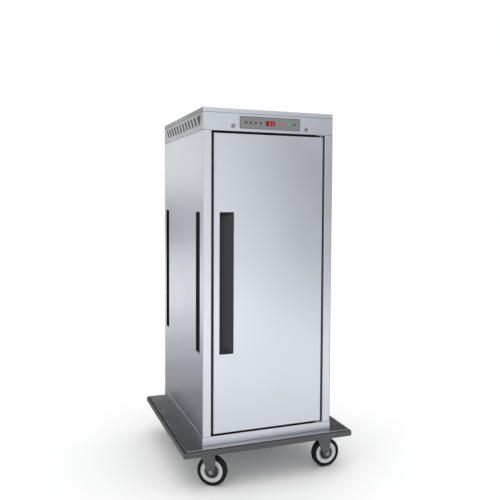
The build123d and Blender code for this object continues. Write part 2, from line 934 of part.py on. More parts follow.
def deck_plate():
    tray = plan_prism(deck_outline(), z_deck - deck_drop, z_deck)
    tray = chamfer(tray.faces().sort_by(Axis.Z)[-1].edges(), deck_sheet * 0.75)
    return tray - plan_prism(deck_outline(-deck_sheet), z_deck - deck_drop, z_deck - deck_sheet)


def bumper():
    ring_face = deck_outline(bumper_reach) - deck_outline()
    low = z_deck - deck_drop
    high = z_deck - bumper_top_drop
    solid = plan_prism(deck_outline(bumper_reach), low, high)
    rims = solid.faces().sort_by(Axis.Z)
    solid = chamfer(rims[0].edges() + rims[-1].edges(), bumper_edge)
    return solid - plan_prism(deck_outline(), low - 1, high + 1)


def pivot_places():
    y_near = y_front + front_pivot_setback
    y_far = y_rear - rear_pivot_setback
    return {
        "front_left": (-caster_spread, y_near, front_left_heading),
        "front_right": (caster_spread, y_near, front_right_heading),
        "rear_left": (-caster_spread, y_far, rear_left_heading),
        "rear_right": (caster_spread, y_far, rear_right_heading),
    }


def hat_channel(web):
    top = channel_height - channel_sheet
    half = web / 2
    return folded(
        (half + channel_lip, top),
        (half, top),
        (half, 0),
        (-half, 0),
        (-half, top),
        (-half - channel_lip, top),
        thickness=channel_sheet,
        radius=bend,
    )


def deck_chassis():
    reach = caster_spread + plate_length / 2 + channel_lip
    rows = sorted({y for _, y, _ in pivot_places().values()})
    cross = hat_channel(channel_web)
    channels = []
    for y in rows:
        channels.append(side_prism(Pos(y, caster_height) * cross, -reach, reach))
    clear = channel_web / 2 + channel_lip
    brace = front_prism(
        Pos(brace_spacing, caster_height) * hat_channel(brace_web), rows[0] + clear, rows[-1] - clear
    )
    channels += both_sides(brace)
    holes = None
    for x, y in bolt_places():
        hole = cylinder_z(x, y, caster_height - 1, caster_height + 2 * channel_sheet, bolt_radius)
        holes = hole if holes is None else holes + hole
    return [channel - holes for channel in channels[: len(rows)]] + channels[len(rows):]


def bolt_places():
    places = []
    for x, y, _ in pivot_places().values():
        for side in (-0.5, 0.5):
            for end in (-0.5, 0.5):
                places.append((x + side * bolt_spacing_x, y + end * bolt_spacing_y))
    return places


def caster_plates():
    pieces = []
    z0 = caster_height - plate_thickness
    z_race = fork_top + race_height + seat_gap
    for x, y, _ in pivot_places().values():
        plate = plan_prism(
            Pos(x, y) * RectangleRounded(plate_length, plate_width, 2 * bolt_radius), z0, caster_height
        )
        plate += cylinder_z(x, y, z_race, z0, race_radius - race_step)
        for bx, by in bolt_places():
            if abs(bx - x) < plate_length and abs(by - y) < plate_width:
                plate -= cylinder_z(bx, by, z0 - 1, caster_height + 1, bolt_radius)
        head_top = fork_top - fork_sheet - seat_gap
        head_low = head_top - kingpin_head
        pin = cylinder_z(x, y, head_low, caster_height, kingpin_radius)
        pin += cylinder_z(x, y, head_low, head_top, kingpin_radius * 1.8)
        plate -= cylinder_z(x, y, head_low, caster_height + 1, kingpin_radius)
        pieces += [plate, pin]
    return pieces


def caster_bolts():
    bolts = []
    head = RegularPolygon(bolt_radius * hexagon_ratio, 6)
    z_plate = caster_height - plate_thickness
    z_nut = caster_height + channel_sheet
    for x, y in bolt_places():
        bolt = cylinder_z(x, y, z_plate, z_nut, bolt_radius)
        bolt += plan_prism(Pos(x, y) * head, z_plate - bolt_head, z_plate)
        bolt += plan_prism(Pos(x, y) * head, z_nut, z_nut + nut_height)
        bolts.append(bolt)
    return bolts


def fork_side():
    # The leg seen along the axle, as (x, z).
    eye = Pos(trail, wheel_radius) * Circle(fork_eye)
    top_height = fork_bend * 3
    top = Pos((fork_tail - fork_lead) / 2, fork_top - top_height / 2)
    crown = top * Rectangle(fork_tail + fork_lead, top_height)
    return make_hull(eye.edges() + crown.edges())


def caster_fork(braked):
    half = fork_inside / 2 + fork_sheet
    low = wheel_radius - fork_eye
    yoke = folded(
        (-half, low),
        (-half, fork_top),
        (half, fork_top),
        (half, low),
        thickness=fork_sheet,
        radius=fork_bend - fork_sheet,
    )
    fork = side_prism(yoke, -fork_lead, fork_tail) & front_prism(fork_side(), -half, half)
    bore = kingpin_radius + running_gap
    fork += cylinder_z(0, 0, fork_top - fork_sheet, fork_top + race_height, race_radius)
    fork -= cylinder_z(0, 0, fork_top - 2 * fork_sheet, fork_top + race_height, bore)
    fork -= cylinder_y(trail, wheel_radius, -half - 1, half + 1, axle_radius)
    if braked:
        pin = brake_pin_radius + running_gap
        fork -= cylinder_y(brake_x, brake_z, -half - 1, half + 1, pin)
    return fork


def axle_bolt():
    half = fork_inside / 2 + fork_sheet
    head_height = axle_radius * 1.3
    nut_end = half + axle_radius * 1.6
    bolt = cylinder_y(trail, wheel_radius, -half - 1, nut_end + thread_tip, axle_radius)
    hexagon = Pos(trail, wheel_radius) * RegularPolygon(axle_radius * hexagon_ratio, 6)
    head = front_prism(hexagon, -half - head_height, -half)
    nut = front_prism(hexagon, half, nut_end)
    return bolt + head + nut


def hub_covers():
    outside = fork_inside / 2 - running_gap
    inside = hub_width / 2 + seat_gap
    cover = cylinder_y(trail, wheel_radius, inside, outside, cover_radius)
    cover -= cylinder_y(trail, wheel_radius, inside - 1, outside + 1, axle_radius)
    return [cover, mirror(cover, about=Plane.XZ)]


def wheel_centre():
    half = hub_width / 2
    seat = wheel_radius - tyre_depth
    edge = tyre_width / 2 - bead_inset
    side = [
        (axle_radius + running_gap, half),
        (hub_radius, half),
        (hub_radius, edge),
        (seat, edge),
    ]
    profile = outline(*side, *[(radius, -across) for radius, across in reversed(side)])
    return Pos(trail, 0, wheel_radius) * revolve(Plane.XY * profile, Axis.Y)


def tyre():
    seat = wheel_radius - tyre_depth
    wide = tyre_width / 2
    shoulder = wheel_radius - tyre_shoulder
    side = [(seat, wide), (shoulder, wide), (wheel_radius, wide - tyre_shoulder)]
    profile = outline(*side, *[(radius, -across) for radius, across in reversed(side)])
    return Pos(trail, 0, wheel_radius) * revolve(Plane.XY * profile, Axis.Y)


def brake_pedal():
    ear_in = fork_inside / 2 + fork_sheet + seat_gap
    ear_out = ear_in + brake_sheet
    z_plate = brake_z + pedal_rise
    x_plate = brake_x + pedal_lead
    x_bend = x_plate + pedal_flat
    z_ear = z_plate - (brake_sheet + pedal_ear) / 2
    tread = folded(
        (x_plate - brake_eye / 2, z_plate),
        (x_bend, z_plate),
        (x_bend + brake_reach, z_plate - brake_drop),
        thickness=brake_sheet,
        radius=2 * bend,
    )
    pedal = front_prism(tread, -ear_out, ear_out)
    eye = Pos(brake_x, brake_z) * Circle(brake_eye)
    root = Pos((x_plate + x_bend) / 2, z_ear) * Rectangle(pedal_flat, pedal_ear)
    ear_face = make_hull(eye.edges() + root.edges())
    pedal += front_prism(ear_face, ear_in, ear_out) + front_prism(ear_face, -ear_out, -ear_in)
    return pedal + cylinder_y(brake_x, brake_z, -ear_out, ear_out, brake_pin_radius)


def door_rectangle(inset):
    width = 2 * (x_door - inset)
    height = z_door_high - z_door_low - 2 * inset
    return Pos(0, (z_door_low + z_door_high) / 2) * Rectangle(width, height)


def bush_places():
    return ((z_door_low, z_door_low + bush_length), (z_door_high - bush_length, z_door_high))


def door_skin():
    solid = front_prism(door_rectangle(0), y_front, y_door_back - sheet)
    front_edges = solid.faces().sort_by(Axis.Y)[0].edges()
    solid = fillet(front_edges, door_edge_radius)
    solid -= front_prism(door_rectangle(sheet), y_front + sheet, y_door_back)
    window = Pos(x_grip, z_grip) * grip_window(door_grip_width)
    solid -= front_prism(window, y_front - 1, y_front + 2 * sheet)
    for z0, z1 in bush_places():
        solid -= cylinder_z(x_pivot, y_pivot, z0, z1, bush_radius)
    return solid


def raised_field(inset):
    # The pressed field of the door's inner panel, drawn inwards by the inset.
    def at(y, draw):
        half = x_cav - panel_gap - draw
        low = z_floor + panel_gap + draw
        high = z_roof - panel_gap - draw
        return Plane.XZ.offset(-y) * (Pos(0, (low + high) / 2) * Rectangle(2 * half, high - low))

    start = y_door_back - inset
    return loft([at(start, inset), at(start + panel_rise, inset + panel_rise)])


def door_liner():
    plate = front_prism(door_rectangle(0), y_door_back - sheet, y_door_back)
    return plate + raised_field(0) - raised_field(sheet)


def door_core():
    y0 = y_front + sheet
    y_mid = y0 + grip_layer
    y1 = y_door_back - sheet
    half = x_door - sheet
    low = z_door_low + sheet
    high = z_door_high - sheet
    cup_left = x_grip - grip_rim
    cup_right = x_grip + door_grip_width + grip_rim
    boards = [
        block(-half, cup_left, y0, y_mid, low, high),
        block(cup_left, cup_right, y0, y_mid, low, z_grip - grip_rim),
        block(cup_left, cup_right, y0, y_mid, z_grip + grip_length + grip_rim, high),
        block(cup_right, half, y0, y_mid, low, high),
        block(-half, half, y_mid, y1, low, high),
        raised_field(sheet),
    ]
    for z0, z1 in bush_places():
        boards[3] -= cylinder_z(x_pivot, y_pivot, z0, z1, bush_radius)
    return boards


def door_grip():
    outward = Plane(
        origin=(x_grip, y_front + sheet, z_grip), x_dir=(1, 0, 0), z_dir=(0, -1, 0)
    )
    return outward * grip_cup(door_grip_width)


def door_gasket():
    ring = door_rectangle(gasket_inset) - door_rectangle(gasket_inset + gasket_width)
    seal = front_prism(ring, y_door_back, y_door_back + gasket_depth)
    tip = seal.faces().sort_by(Axis.Y)[-1].edges()
    return fillet(tip, gasket_width / 4)


def door_bushes():
    bushes = []
    for z0, z1 in bush_places():
        bush = cylinder_z(x_pivot, y_pivot, z0, z1, bush_radius)
        bore = pivot_radius + running_gap
        if z0 == z_door_low:
            bush -= cylinder_z(x_pivot, y_pivot, z0 - 1, z0 + pivot_engagement + 1, bore)
        else:
            bush -= cylinder_z(x_pivot, y_pivot, z1 - pivot_engagement - 1, z1 + 1, bore)
        bushes.append(bush)
    return bushes


def hinge_brackets():
    y_edge = y_front + pivot_setback / 2
    x_edge = x_pivot - 2 * pivot_setback
    x_end = x_open - 2 * bend
    y_end = y_land - 2 * bend
    lower = block(x_edge, x_end, y_edge, y_end, z_sill, z_sill + hinge_plate)
    z_seat = z_door_low - running_gap
    lower += cylinder_z(x_pivot, y_pivot, z_sill, z_seat, bush_radius)
    lower += cylinder_z(x_pivot, y_pivot, z_sill, z_door_low + pivot_engagement, pivot_radius)
    upper = block(x_edge, x_end, y_edge, y_end, z_head - hinge_plate, z_head)
    z_pin = z_door_high - pivot_engagement
    upper += cylinder_z(x_pivot, y_pivot, z_pin, z_head, pivot_radius)
    return [lower, upper]


def save_caster(name):
    x, y, heading = pivot_places()[name]
    place = Pos(x, y, 0) * Rot(0, 0, heading)
    braked = name.startswith("rear")
    yoke = [caster_fork(braked), axle_bolt()] + hub_covers()
    save(f"caster_fork_{name}", [place * piece for piece in yoke])
    save(f"wheel_centre_{name}", place * wheel_centre())
    save(f"tyre_{name}", place * tyre())
    if braked:
        save(f"brake_pedal_{name}", place * brake_pedal())


def main():
    os.makedirs("parts", exist_ok=True)
    right_panel = side_panel()
    save("base_rails", base_rails())
    save("front_crossrails", front_crossrails())
    save("front_stiles", front_stiles())
    save("right_side_panel", right_panel)
    save("left_side_panel", mirror(right_panel, about=Plane.YZ))
    save("rear_panel", rear_panel())
    save("side_grips", side_grips())
    save("cavity_liner", cavity_liner())
    save("wall_insulation", wall_insulation())
    save("rack_uprights", rack_uprights())
    save("tray_runners", tray_runners())
    save("rear_duct_panel", rear_duct_panel())
    save("fan_guard_plate", fan_guard_plate())
    save("machine_tray", machine_tray())
    save("fascia", fascia())
    save("vent_panels", vent_panels())
    save("top_rear_panel", top_rear_panel())
    save("top_lid", top_lid())
    save("power_inlet", power_inlet())
    save("control_panel", control_panel())
    save("display_window", display_window())
    save("indicator_lenses", indicator_lenses())
    save("control_box", control_box())
    for number, x in enumerate(key_offsets, start=1):
        save(f"key_{number}", key_cap(x))
    save("lock_housings", lock_housings())
    left_lock, right_lock = lock_places()
    save("lock_plug_left", lock_plug(left_lock))
    save("lock_plug_right", lock_plug(right_lock))
    save("fan_motor", fan_motor())
    save("fan_impeller", fan_impeller())
    save("heater_element", heater_element())
    save("temperature_probe", temperature_probe())
    save("deck_plate", deck_plate())
    save("bumper", bumper())
    save("deck_chassis", deck_chassis())
    save("caster_plates", caster_plates())
    save("caster_bolts", caster_bolts())
    for name in pivot_places():
        save_caster(name)
    save("door_skin", door_skin())
    save("door_liner", door_liner())
    save("door_core", door_core())
    save("door_grip", door_grip())
    save("door_gasket", door_gasket())
    save("door_bushes", door_bushes())
    save("hinge_brackets", hinge_brackets())


main()
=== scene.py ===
import bpy
import json
import math
from mathutils import Matrix, Vector


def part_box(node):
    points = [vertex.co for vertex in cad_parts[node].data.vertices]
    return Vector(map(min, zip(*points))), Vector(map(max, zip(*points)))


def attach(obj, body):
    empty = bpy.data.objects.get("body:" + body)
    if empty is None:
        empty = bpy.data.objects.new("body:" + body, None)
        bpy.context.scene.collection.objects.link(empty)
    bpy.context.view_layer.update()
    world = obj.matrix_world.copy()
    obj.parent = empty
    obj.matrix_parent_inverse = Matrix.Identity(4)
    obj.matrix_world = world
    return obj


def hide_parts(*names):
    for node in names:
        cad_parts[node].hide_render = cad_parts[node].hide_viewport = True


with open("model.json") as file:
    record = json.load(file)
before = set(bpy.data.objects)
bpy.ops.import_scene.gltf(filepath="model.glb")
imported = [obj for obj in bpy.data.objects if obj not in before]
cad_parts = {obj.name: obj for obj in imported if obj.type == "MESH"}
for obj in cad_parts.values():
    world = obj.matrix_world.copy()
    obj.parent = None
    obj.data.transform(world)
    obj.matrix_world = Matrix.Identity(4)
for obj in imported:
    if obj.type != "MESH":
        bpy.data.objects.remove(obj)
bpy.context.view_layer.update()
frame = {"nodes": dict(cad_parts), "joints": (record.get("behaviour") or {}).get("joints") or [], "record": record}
scene = bpy.context.scene
nodes = frame["nodes"]
print("frame loaded,", len(nodes), "nodes")


# Camera, at the photo's place: metres in the part's frame, the lens from the photo's own edges.
photoCamera = {
    "place": (-1.15377, -3.30414, 1.39829),
    "yaw": 0.366864,  # radians to the right of +Y
    "pitch": -0.046589,
    "roll": 0.005831,
    "focalPixels": 624.832,
    "centrePixel": (261.45, 230.56),
    "framePixels": 500,
    "sensorMm": 36,
}


def makeCamera():
    c = photoCamera
    yaw, pitch, roll = c["yaw"], c["pitch"], c["roll"]
    ahead = Vector((math.sin(yaw) * math.cos(pitch), math.cos(yaw) * math.cos(pitch), math.sin(pitch)))
    level = Vector((math.cos(yaw), -math.sin(yaw), 0))
    upright = level.cross(ahead)
    right = math.cos(roll) * level + math.sin(roll) * upright
    up = -math.sin(roll) * level + math.cos(roll) * upright
    bpy.ops.object.camera_add()
    camera = bpy.context.object
    camera.name = "photoCamera"
    turn = Matrix((right, up, -ahead)).transposed().to_4x4()
    camera.matrix_world = Matrix.Translation(c["place"]) @ turn
    camera.data.sensor_width = c["sensorMm"]
    camera.data.lens = c["focalPixels"] / c["framePixels"] * c["sensorMm"]
    camera.data.shift_x = 0.5 - c["centrePixel"][0] / c["framePixels"]
    camera.data.shift_y = c["centrePixel"][1] / c["framePixels"] - 0.5
    camera.data.clip_end = 100
    scene.camera = camera


# Studio: a pale floor, an even sky, large soft lights, and cards that only the gloss sees.
studio = {
    "floorSize": 60,
    "floorColour": (0.93, 0.93, 0.93),
    "floorRough": 0.9,
    "floorShine": 0.1,
    "sky": 1.0,
    "fill": {"power": 0.5, "spread": 60},  # straight down, so that the floor is as pale as the sky
    "lights": [
        # name, place, aimed at, size, power, colour
        ("keyLight", (-2.2, -4.8, 2.6), (0, 0, 0.9), 3.0, 5, (1.0, 1.0, 1.0)),
        ("floorLight", (0.4, -3.6, 0.9), (0, -0.4, 0.4), 2.0, 5, (0.97, 0.98, 1.0)),
    ],
    "cardBlue": 1.04,  # a card's blue, as a share of its grey
    "cards": [
        # name, middle, half sizes (X, Y, Z), grey
        ("lowBackCard", (-1.05, 0.75, 0.003), (0.85, 0.50, 0), 0.27),
        ("midBackCard", (-1.35, 1.65, 0.003), (1.1, 0.40, 0), 0.42),
        ("nextBackCard", (-1.6, 2.5, 0.003), (1.2, 0.45, 0), 0.58),
        ("outerBackCard", (-1.9, 3.6, 0.003), (1.5, 0.65, 0), 0.78),
        ("horizonCard", (-4.2, 14.0, 0.75), (3.0, 0, 0.70), 0.35),
        ("farBackCard", (0.0, 18.0, 12.0), (22.0, 0, 7.0), 0.05),
        ("leftFrontCard", (0.8, -7.0, 0.95), (1.8, 0, 0.95), 0.55),
        ("midFrontCard", (2.9, -7.0, 1.6), (0.3, 0, 1.6), 0.50),
        ("rightFrontCard", (5.3, -7.0, 1.9), (2.1, 0, 1.9), 0.36),
        ("frontFloorCard", (0.9, -3.4, 0.003), (1.7, 1.5, 0), 1.25),
    ],
}


def makeCard(name, place, half, grey):  # a card that gloss reflects, and nothing else sees
    bpy.ops.mesh.primitive_cube_add(size=2, location=place)
    card = bpy.context.object
    card.name = name
    card.scale = [max(part, 0.001) for part in half]
    material = bpy.data.materials.new(name)
    material.use_nodes = True
    shader = material.node_tree.nodes["Principled BSDF"]
    shader.inputs["Base Color"].default_value = (0, 0, 0, 1)
    shader.inputs["Specular IOR Level"].default_value = 0
    shader.inputs["Emission Color"].default_value = (grey, grey, grey * studio["cardBlue"], 1)
    shader.inputs["Emission Strength"].default_value = 1
    card.data.materials.append(material)
    card.visible_camera = False
    card.visible_diffuse = False
    card.visible_shadow = False
    card.visible_transmission = False


def makeStudio():
    bpy.ops.mesh.primitive_plane_add(size=studio["floorSize"])
    floor = bpy.context.object
    floor.name = "paleFloor"
    floorMaterial = bpy.data.materials.new("paleFloor")
    floorMaterial.use_nodes = True
    shader = floorMaterial.node_tree.nodes["Principled BSDF"]
    shader.inputs["Base Color"].default_value = (*studio["floorColour"], 1)
    shader.inputs["Roughness"].default_value = studio["floorRough"]
    shader.inputs["Specular IOR Level"].default_value = studio["floorShine"]
    floor.data.materials.append(floorMaterial)
    scene.world = bpy.data.worlds.new("evenSky")
    scene.world.use_nodes = True
    sky = scene.world.node_tree.nodes["Background"]
    sky.inputs["Color"].default_value = (1, 1, 1, 1)
    sky.inputs["Strength"].default_value = studio["sky"]
    for name, place, aim, size, power, colour in studio["lights"]:
        bpy.ops.object.light_add(type="AREA", location=place)
        light = bpy.context.object
        light.name = name
        light.rotation_euler = (Vector(aim) - Vector(place)).to_track_quat("-Z", "Y").to_euler()
        light.data.shape = "DISK"
        light.data.size = size
        light.data.energy = power
        light.data.color = colour
    bpy.ops.object.light_add(type="SUN", location=(0, 0, 5))
    fill = bpy.context.object
    fill.name = "floorFill"
    fill.data.energy = studio["fill"]["power"]
    fill.data.angle = math.radians(studio["fill"]["spread"])
    for card in studio["cards"]:
        makeCard(*card)
    scene.view_settings.view_transform = "Standard"
    print("studio ready")


makeCamera()
makeStudio()


# Effects that several materials share. Each is a node group that gives only masks and normals.
def makeGroup(name, inputs, outputs):
    group = bpy.data.node_groups.new(name, "ShaderNodeTree")
    for label, kind, start in inputs:
        socket = group.interface.new_socket(label, in_out="INPUT", socket_type=kind)
        socket.default_value = start
    for label, kind in outputs:
        group.interface.new_socket(label, in_out="OUTPUT", socket_type=kind)
    entry = group.nodes.new("NodeGroupInput")
    leave = group.nodes.new("NodeGroupOutput")
    place = group.nodes.new("ShaderNodeTexCoord").outputs["Object"]
    return group, entry.outputs, leave.inputs, place


def noiseOn(tree, vector, scale, detail=2.0, rough=0.5):
    noise = tree.nodes.new("ShaderNodeTexNoise")
    noise.inputs["Detail"].default_value = detail
    noise.inputs["Roughness"].default_value = rough
    tree.links.new(vector, noise.inputs["Vector"])
    if isinstance(scale, (int, float)):
        noise.inputs["Scale"].default_value = scale
    else:
        tree.links.new(scale, noise.inputs["Scale"])
    return noise.outputs["Fac"]


def stretched(tree, vector, stretch):
    times = tree.nodes.new("ShaderNodeVectorMath")
    times.operation = "MULTIPLY"
    tree.links.new(vector, times.inputs[0])
    tree.links.new(stretch, times.inputs[1])
    return times.outputs["Vector"]


def bumpOn(tree, height, depth, distance):
    bump = tree.nodes.new("ShaderNodeBump")
    bump.inputs["Distance"].default_value = distance
    tree.links.new(height, bump.inputs["Height"])
    tree.links.new(depth, bump.inputs["Strength"])
    return bump.outputs["Normal"]


def brushedGrain():  # long fine lines left by the polishing belt
    tree, given, gives, place = makeGroup(
        "brushedGrain",
        [("Stretch", "NodeSocketVector", (700, 700, 9)), ("Depth", "NodeSocketFloat", 0.1)],
        [("Grain", "NodeSocketFloat"), ("Normal", "NodeSocketVector")],
    )
    fine = noiseOn(tree, stretched(tree, place, given["Stretch"]), 1.0, 3.0, 0.6)
    tree.links.new(fine, gives["Grain"])
    tree.links.new(bumpOn(tree, fine, given["Depth"], 0.0002), gives["Normal"])
    return tree


def softClouds():  # broad uneven patches, for handling marks and slight changes of tone
    tree, given, gives, place = makeGroup(
        "softClouds",
        [
            ("Scale", "NodeSocketFloat", 4.0),
            ("Low", "NodeSocketFloat", 0.35),
            ("High", "NodeSocketFloat", 0.7),
        ],
        [("Mask", "NodeSocketFloat")],
    )
    patches = noiseOn(tree, place, given["Scale"], 4.0, 0.55)
    spread = tree.nodes.new("ShaderNodeMapRange")
    spread.interpolation_type = "SMOOTHSTEP"
    tree.links.new(patches, spread.inputs["Value"])
    tree.links.new(given["Low"], spread.inputs["From Min"])
    tree.links.new(given["High"], spread.inputs["From Max"])
    tree.links.new(spread.outputs["Result"], gives["Mask"])
    return tree


def fineScratches():  # sparse hairlines where things have rubbed
    tree, given, gives, place = makeGroup(
        "fineScratches",
        [("Stretch", "NodeSocketVector", (60, 900, 900)), ("Amount", "NodeSocketFloat", 0.3)],
        [("Mask", "NodeSocketFloat")],
    )
    lines = noiseOn(tree, stretched(tree, place, given["Stretch"]), 1.0, 1.0, 0.4)
    ramp = tree.nodes.new("ShaderNodeMapRange")
    ramp.inputs["From Min"].default_value = 0.58  # so that only the noise's ridges show
    ramp.inputs["From Max"].default_value = 0.80
    tree.links.new(lines, ramp.inputs["Value"])
    tree.links.new(given["Amount"], ramp.inputs["To Max"])
    tree.links.new(ramp.outputs["Result"], gives["Mask"])
    return tree


def mouldTexture():  # the fine even texture of a moulded surface
    tree, given, gives, place = makeGroup(
        "mouldTexture",
        [("Scale", "NodeSocketFloat", 900.0), ("Depth", "NodeSocketFloat", 0.2)],
        [("Grain", "NodeSocketFloat"), ("Normal", "NodeSocketVector")],
    )
    pits = noiseOn(tree, place, given["Scale"], 2.0, 0.6)
    tree.links.new(pits, gives["Grain"])
    tree.links.new(bumpOn(tree, pits, given["Depth"], 0.0004), gives["Normal"])
    return tree


effects = {
    "grain": brushedGrain(),
    "clouds": softClouds(),
    "scratches": fineScratches(),
    "mould": mouldTexture(),
}


# Materials. The look of each is a dictionary, and one function builds each kind.
wear = {"scratches": 0.03, "metalPatches": 0.35, "paintPatches": 0.4}  # how strongly each shows


def newMaterial(name):
    material = bpy.data.materials.new(name)
    material.use_nodes = True
    return material, material.node_tree, material.node_tree.nodes["Principled BSDF"]


def placeEffect(tree, effect, **values):
    node = tree.nodes.new("ShaderNodeGroup")
    node.node_tree = effects[effect]
    for label, value in values.items():
        node.inputs[label].default_value = value
    return node.outputs


def mixColours(tree, mask, first, second):
    mix = tree.nodes.new("ShaderNodeMix")
    mix.data_type = "RGBA"
    tree.links.new(mask, mix.inputs["Factor"])
    sockets = [socket for socket in mix.inputs if socket.type == "RGBA"]
    for socket, colour in zip(sockets, (first, second)):
        if isinstance(colour, tuple):
            socket.default_value = (*colour, 1)
        else:
            tree.links.new(colour, socket)
    return next(socket for socket in mix.outputs if socket.type == "RGBA")


def spreadValue(tree, mask, low, high):
    spread = tree.nodes.new("ShaderNodeMapRange")
    spread.inputs["To Min"].default_value = low
    spread.inputs["To Max"].default_value = high
    tree.links.new(mask, spread.inputs["Value"])
    return spread.outputs["Result"]


def sumOf(tree, first, second):
    add = tree.nodes.new("ShaderNodeMath")
    add.operation = "ADD"
    tree.links.new(first, add.inputs[0])
    tree.links.new(second, add.inputs[1])
    return add.outputs["Value"]


metalLooks = {
    "outerSteel": {  # the skins, brushed from top to bottom
        "light": (0.605, 0.632, 0.682), "dark": (0.575, 0.602, 0.652), "gloss": (0.28, 0.34),
        "stretch": (420, 420, 5), "depth": 0.05, "cloudScale": 1.6, "scratch": (420, 420, 9),
    },
    "topSteel": {  # the lid and the front bands, brushed from side to side
        "light": (0.605, 0.632, 0.682), "dark": (0.575, 0.602, 0.652), "gloss": (0.28, 0.35),
        "stretch": (5, 420, 420), "depth": 0.05, "cloudScale": 1.8, "scratch": (9, 420, 420),
    },
    "paintedShadeLidSteel": {  # the lid's sides, rougher than the skins and painted darker as shade
        "light": (0.385, 0.39, 0.405), "dark": (0.355, 0.36, 0.375), "gloss": (0.36, 0.44),
        "stretch": (420, 5, 420), "depth": 0.04, "cloudScale": 3.0, "scratch": (420, 9, 420),
    },
    "ventSteel": {
        "light": (0.505, 0.515, 0.54), "dark": (0.465, 0.475, 0.50), "gloss": (0.34, 0.42),
        "stretch": (420, 5, 420), "depth": 0.04, "cloudScale": 3.0, "scratch": (420, 9, 420),
    },
    "tongueShadeSteel": {  # the louvre tongues, rough and painted dark as the shade inside the slots
        "light": (0.19, 0.195, 0.205), "dark": (0.14, 0.145, 0.155), "gloss": (0.45, 0.58),
        "stretch": (420, 420, 420), "depth": 0.05, "cloudScale": 30.0, "scratch": (420, 420, 60),
    },
    "deckSteel": {
        "light": (0.43, 0.44, 0.465), "dark": (0.37, 0.38, 0.405), "gloss": (0.19, 0.27),
        "stretch": (7, 620, 620), "depth": 0.14, "cloudScale": 5.0, "scratch": (50, 800, 800),
    },
    "innerSteel": {  # plain mill finish inside
        "light": (0.62, 0.625, 0.64), "dark": (0.55, 0.555, 0.57), "gloss": (0.33, 0.45),
        "stretch": (260, 260, 120), "depth": 0.06, "cloudScale": 5.0, "scratch": (60, 700, 700),
    },
    "zincPlate": {
        "light": (0.52, 0.53, 0.54), "dark": (0.38, 0.39, 0.41), "gloss": (0.34, 0.52),
        "stretch": (180, 180, 180), "depth": 0.08, "cloudScale": 26.0, "scratch": (60, 700, 700),
    },
    "polishedLock": {
        "light": (0.36, 0.365, 0.38), "dark": (0.28, 0.285, 0.30), "gloss": (0.16, 0.26),
        "stretch": (500, 500, 500), "depth": 0.03, "cloudScale": 60.0, "scratch": (90, 900, 900),
    },
    "castAluminium": {
        "light": (0.64, 0.64, 0.65), "dark": (0.52, 0.52, 0.54), "gloss": (0.36, 0.5),
        "stretch": (400, 400, 400), "depth": 0.12, "cloudScale": 30.0, "scratch": (90, 900, 900),
    },
    "brightBolt": {
        "light": (0.46, 0.46, 0.47), "dark": (0.34, 0.34, 0.35), "gloss": (0.26, 0.40),
        "stretch": (300, 300, 300), "depth": 0.06, "cloudScale": 40.0, "scratch": (90, 900, 900),
    },
    "heaterSheath": {  # blued by its own heat
        "light": (0.34, 0.30, 0.27), "dark": (0.20, 0.19, 0.21), "gloss": (0.34, 0.5),
        "stretch": (300, 300, 300), "depth": 0.06, "cloudScale": 18.0, "scratch": (90, 900, 900),
    },
}


def makeMetal(name, look):
    material, tree, shader = newMaterial(name)
    grain = placeEffect(tree, "grain", Stretch=look["stretch"], Depth=look["depth"])
    clouds = placeEffect(tree, "clouds", Scale=look["cloudScale"])
    scratches = placeEffect(tree, "scratches", Stretch=look["scratch"], Amount=wear["scratches"])
    streaks = mixColours(tree, grain["Grain"], look["dark"], look["light"])
    patches = spreadValue(tree, clouds["Mask"], 0.0, wear["metalPatches"])
    tone = mixColours(tree, patches, streaks, look["dark"])
    tree.links.new(tone, shader.inputs["Base Color"])
    gloss = spreadValue(tree, clouds["Mask"], *look["gloss"])
    tree.links.new(sumOf(tree, gloss, scratches["Mask"]), shader.inputs["Roughness"])
    tree.links.new(grain["Normal"], shader.inputs["Normal"])
    shader.inputs["Metallic"].default_value = 1.0
    return material


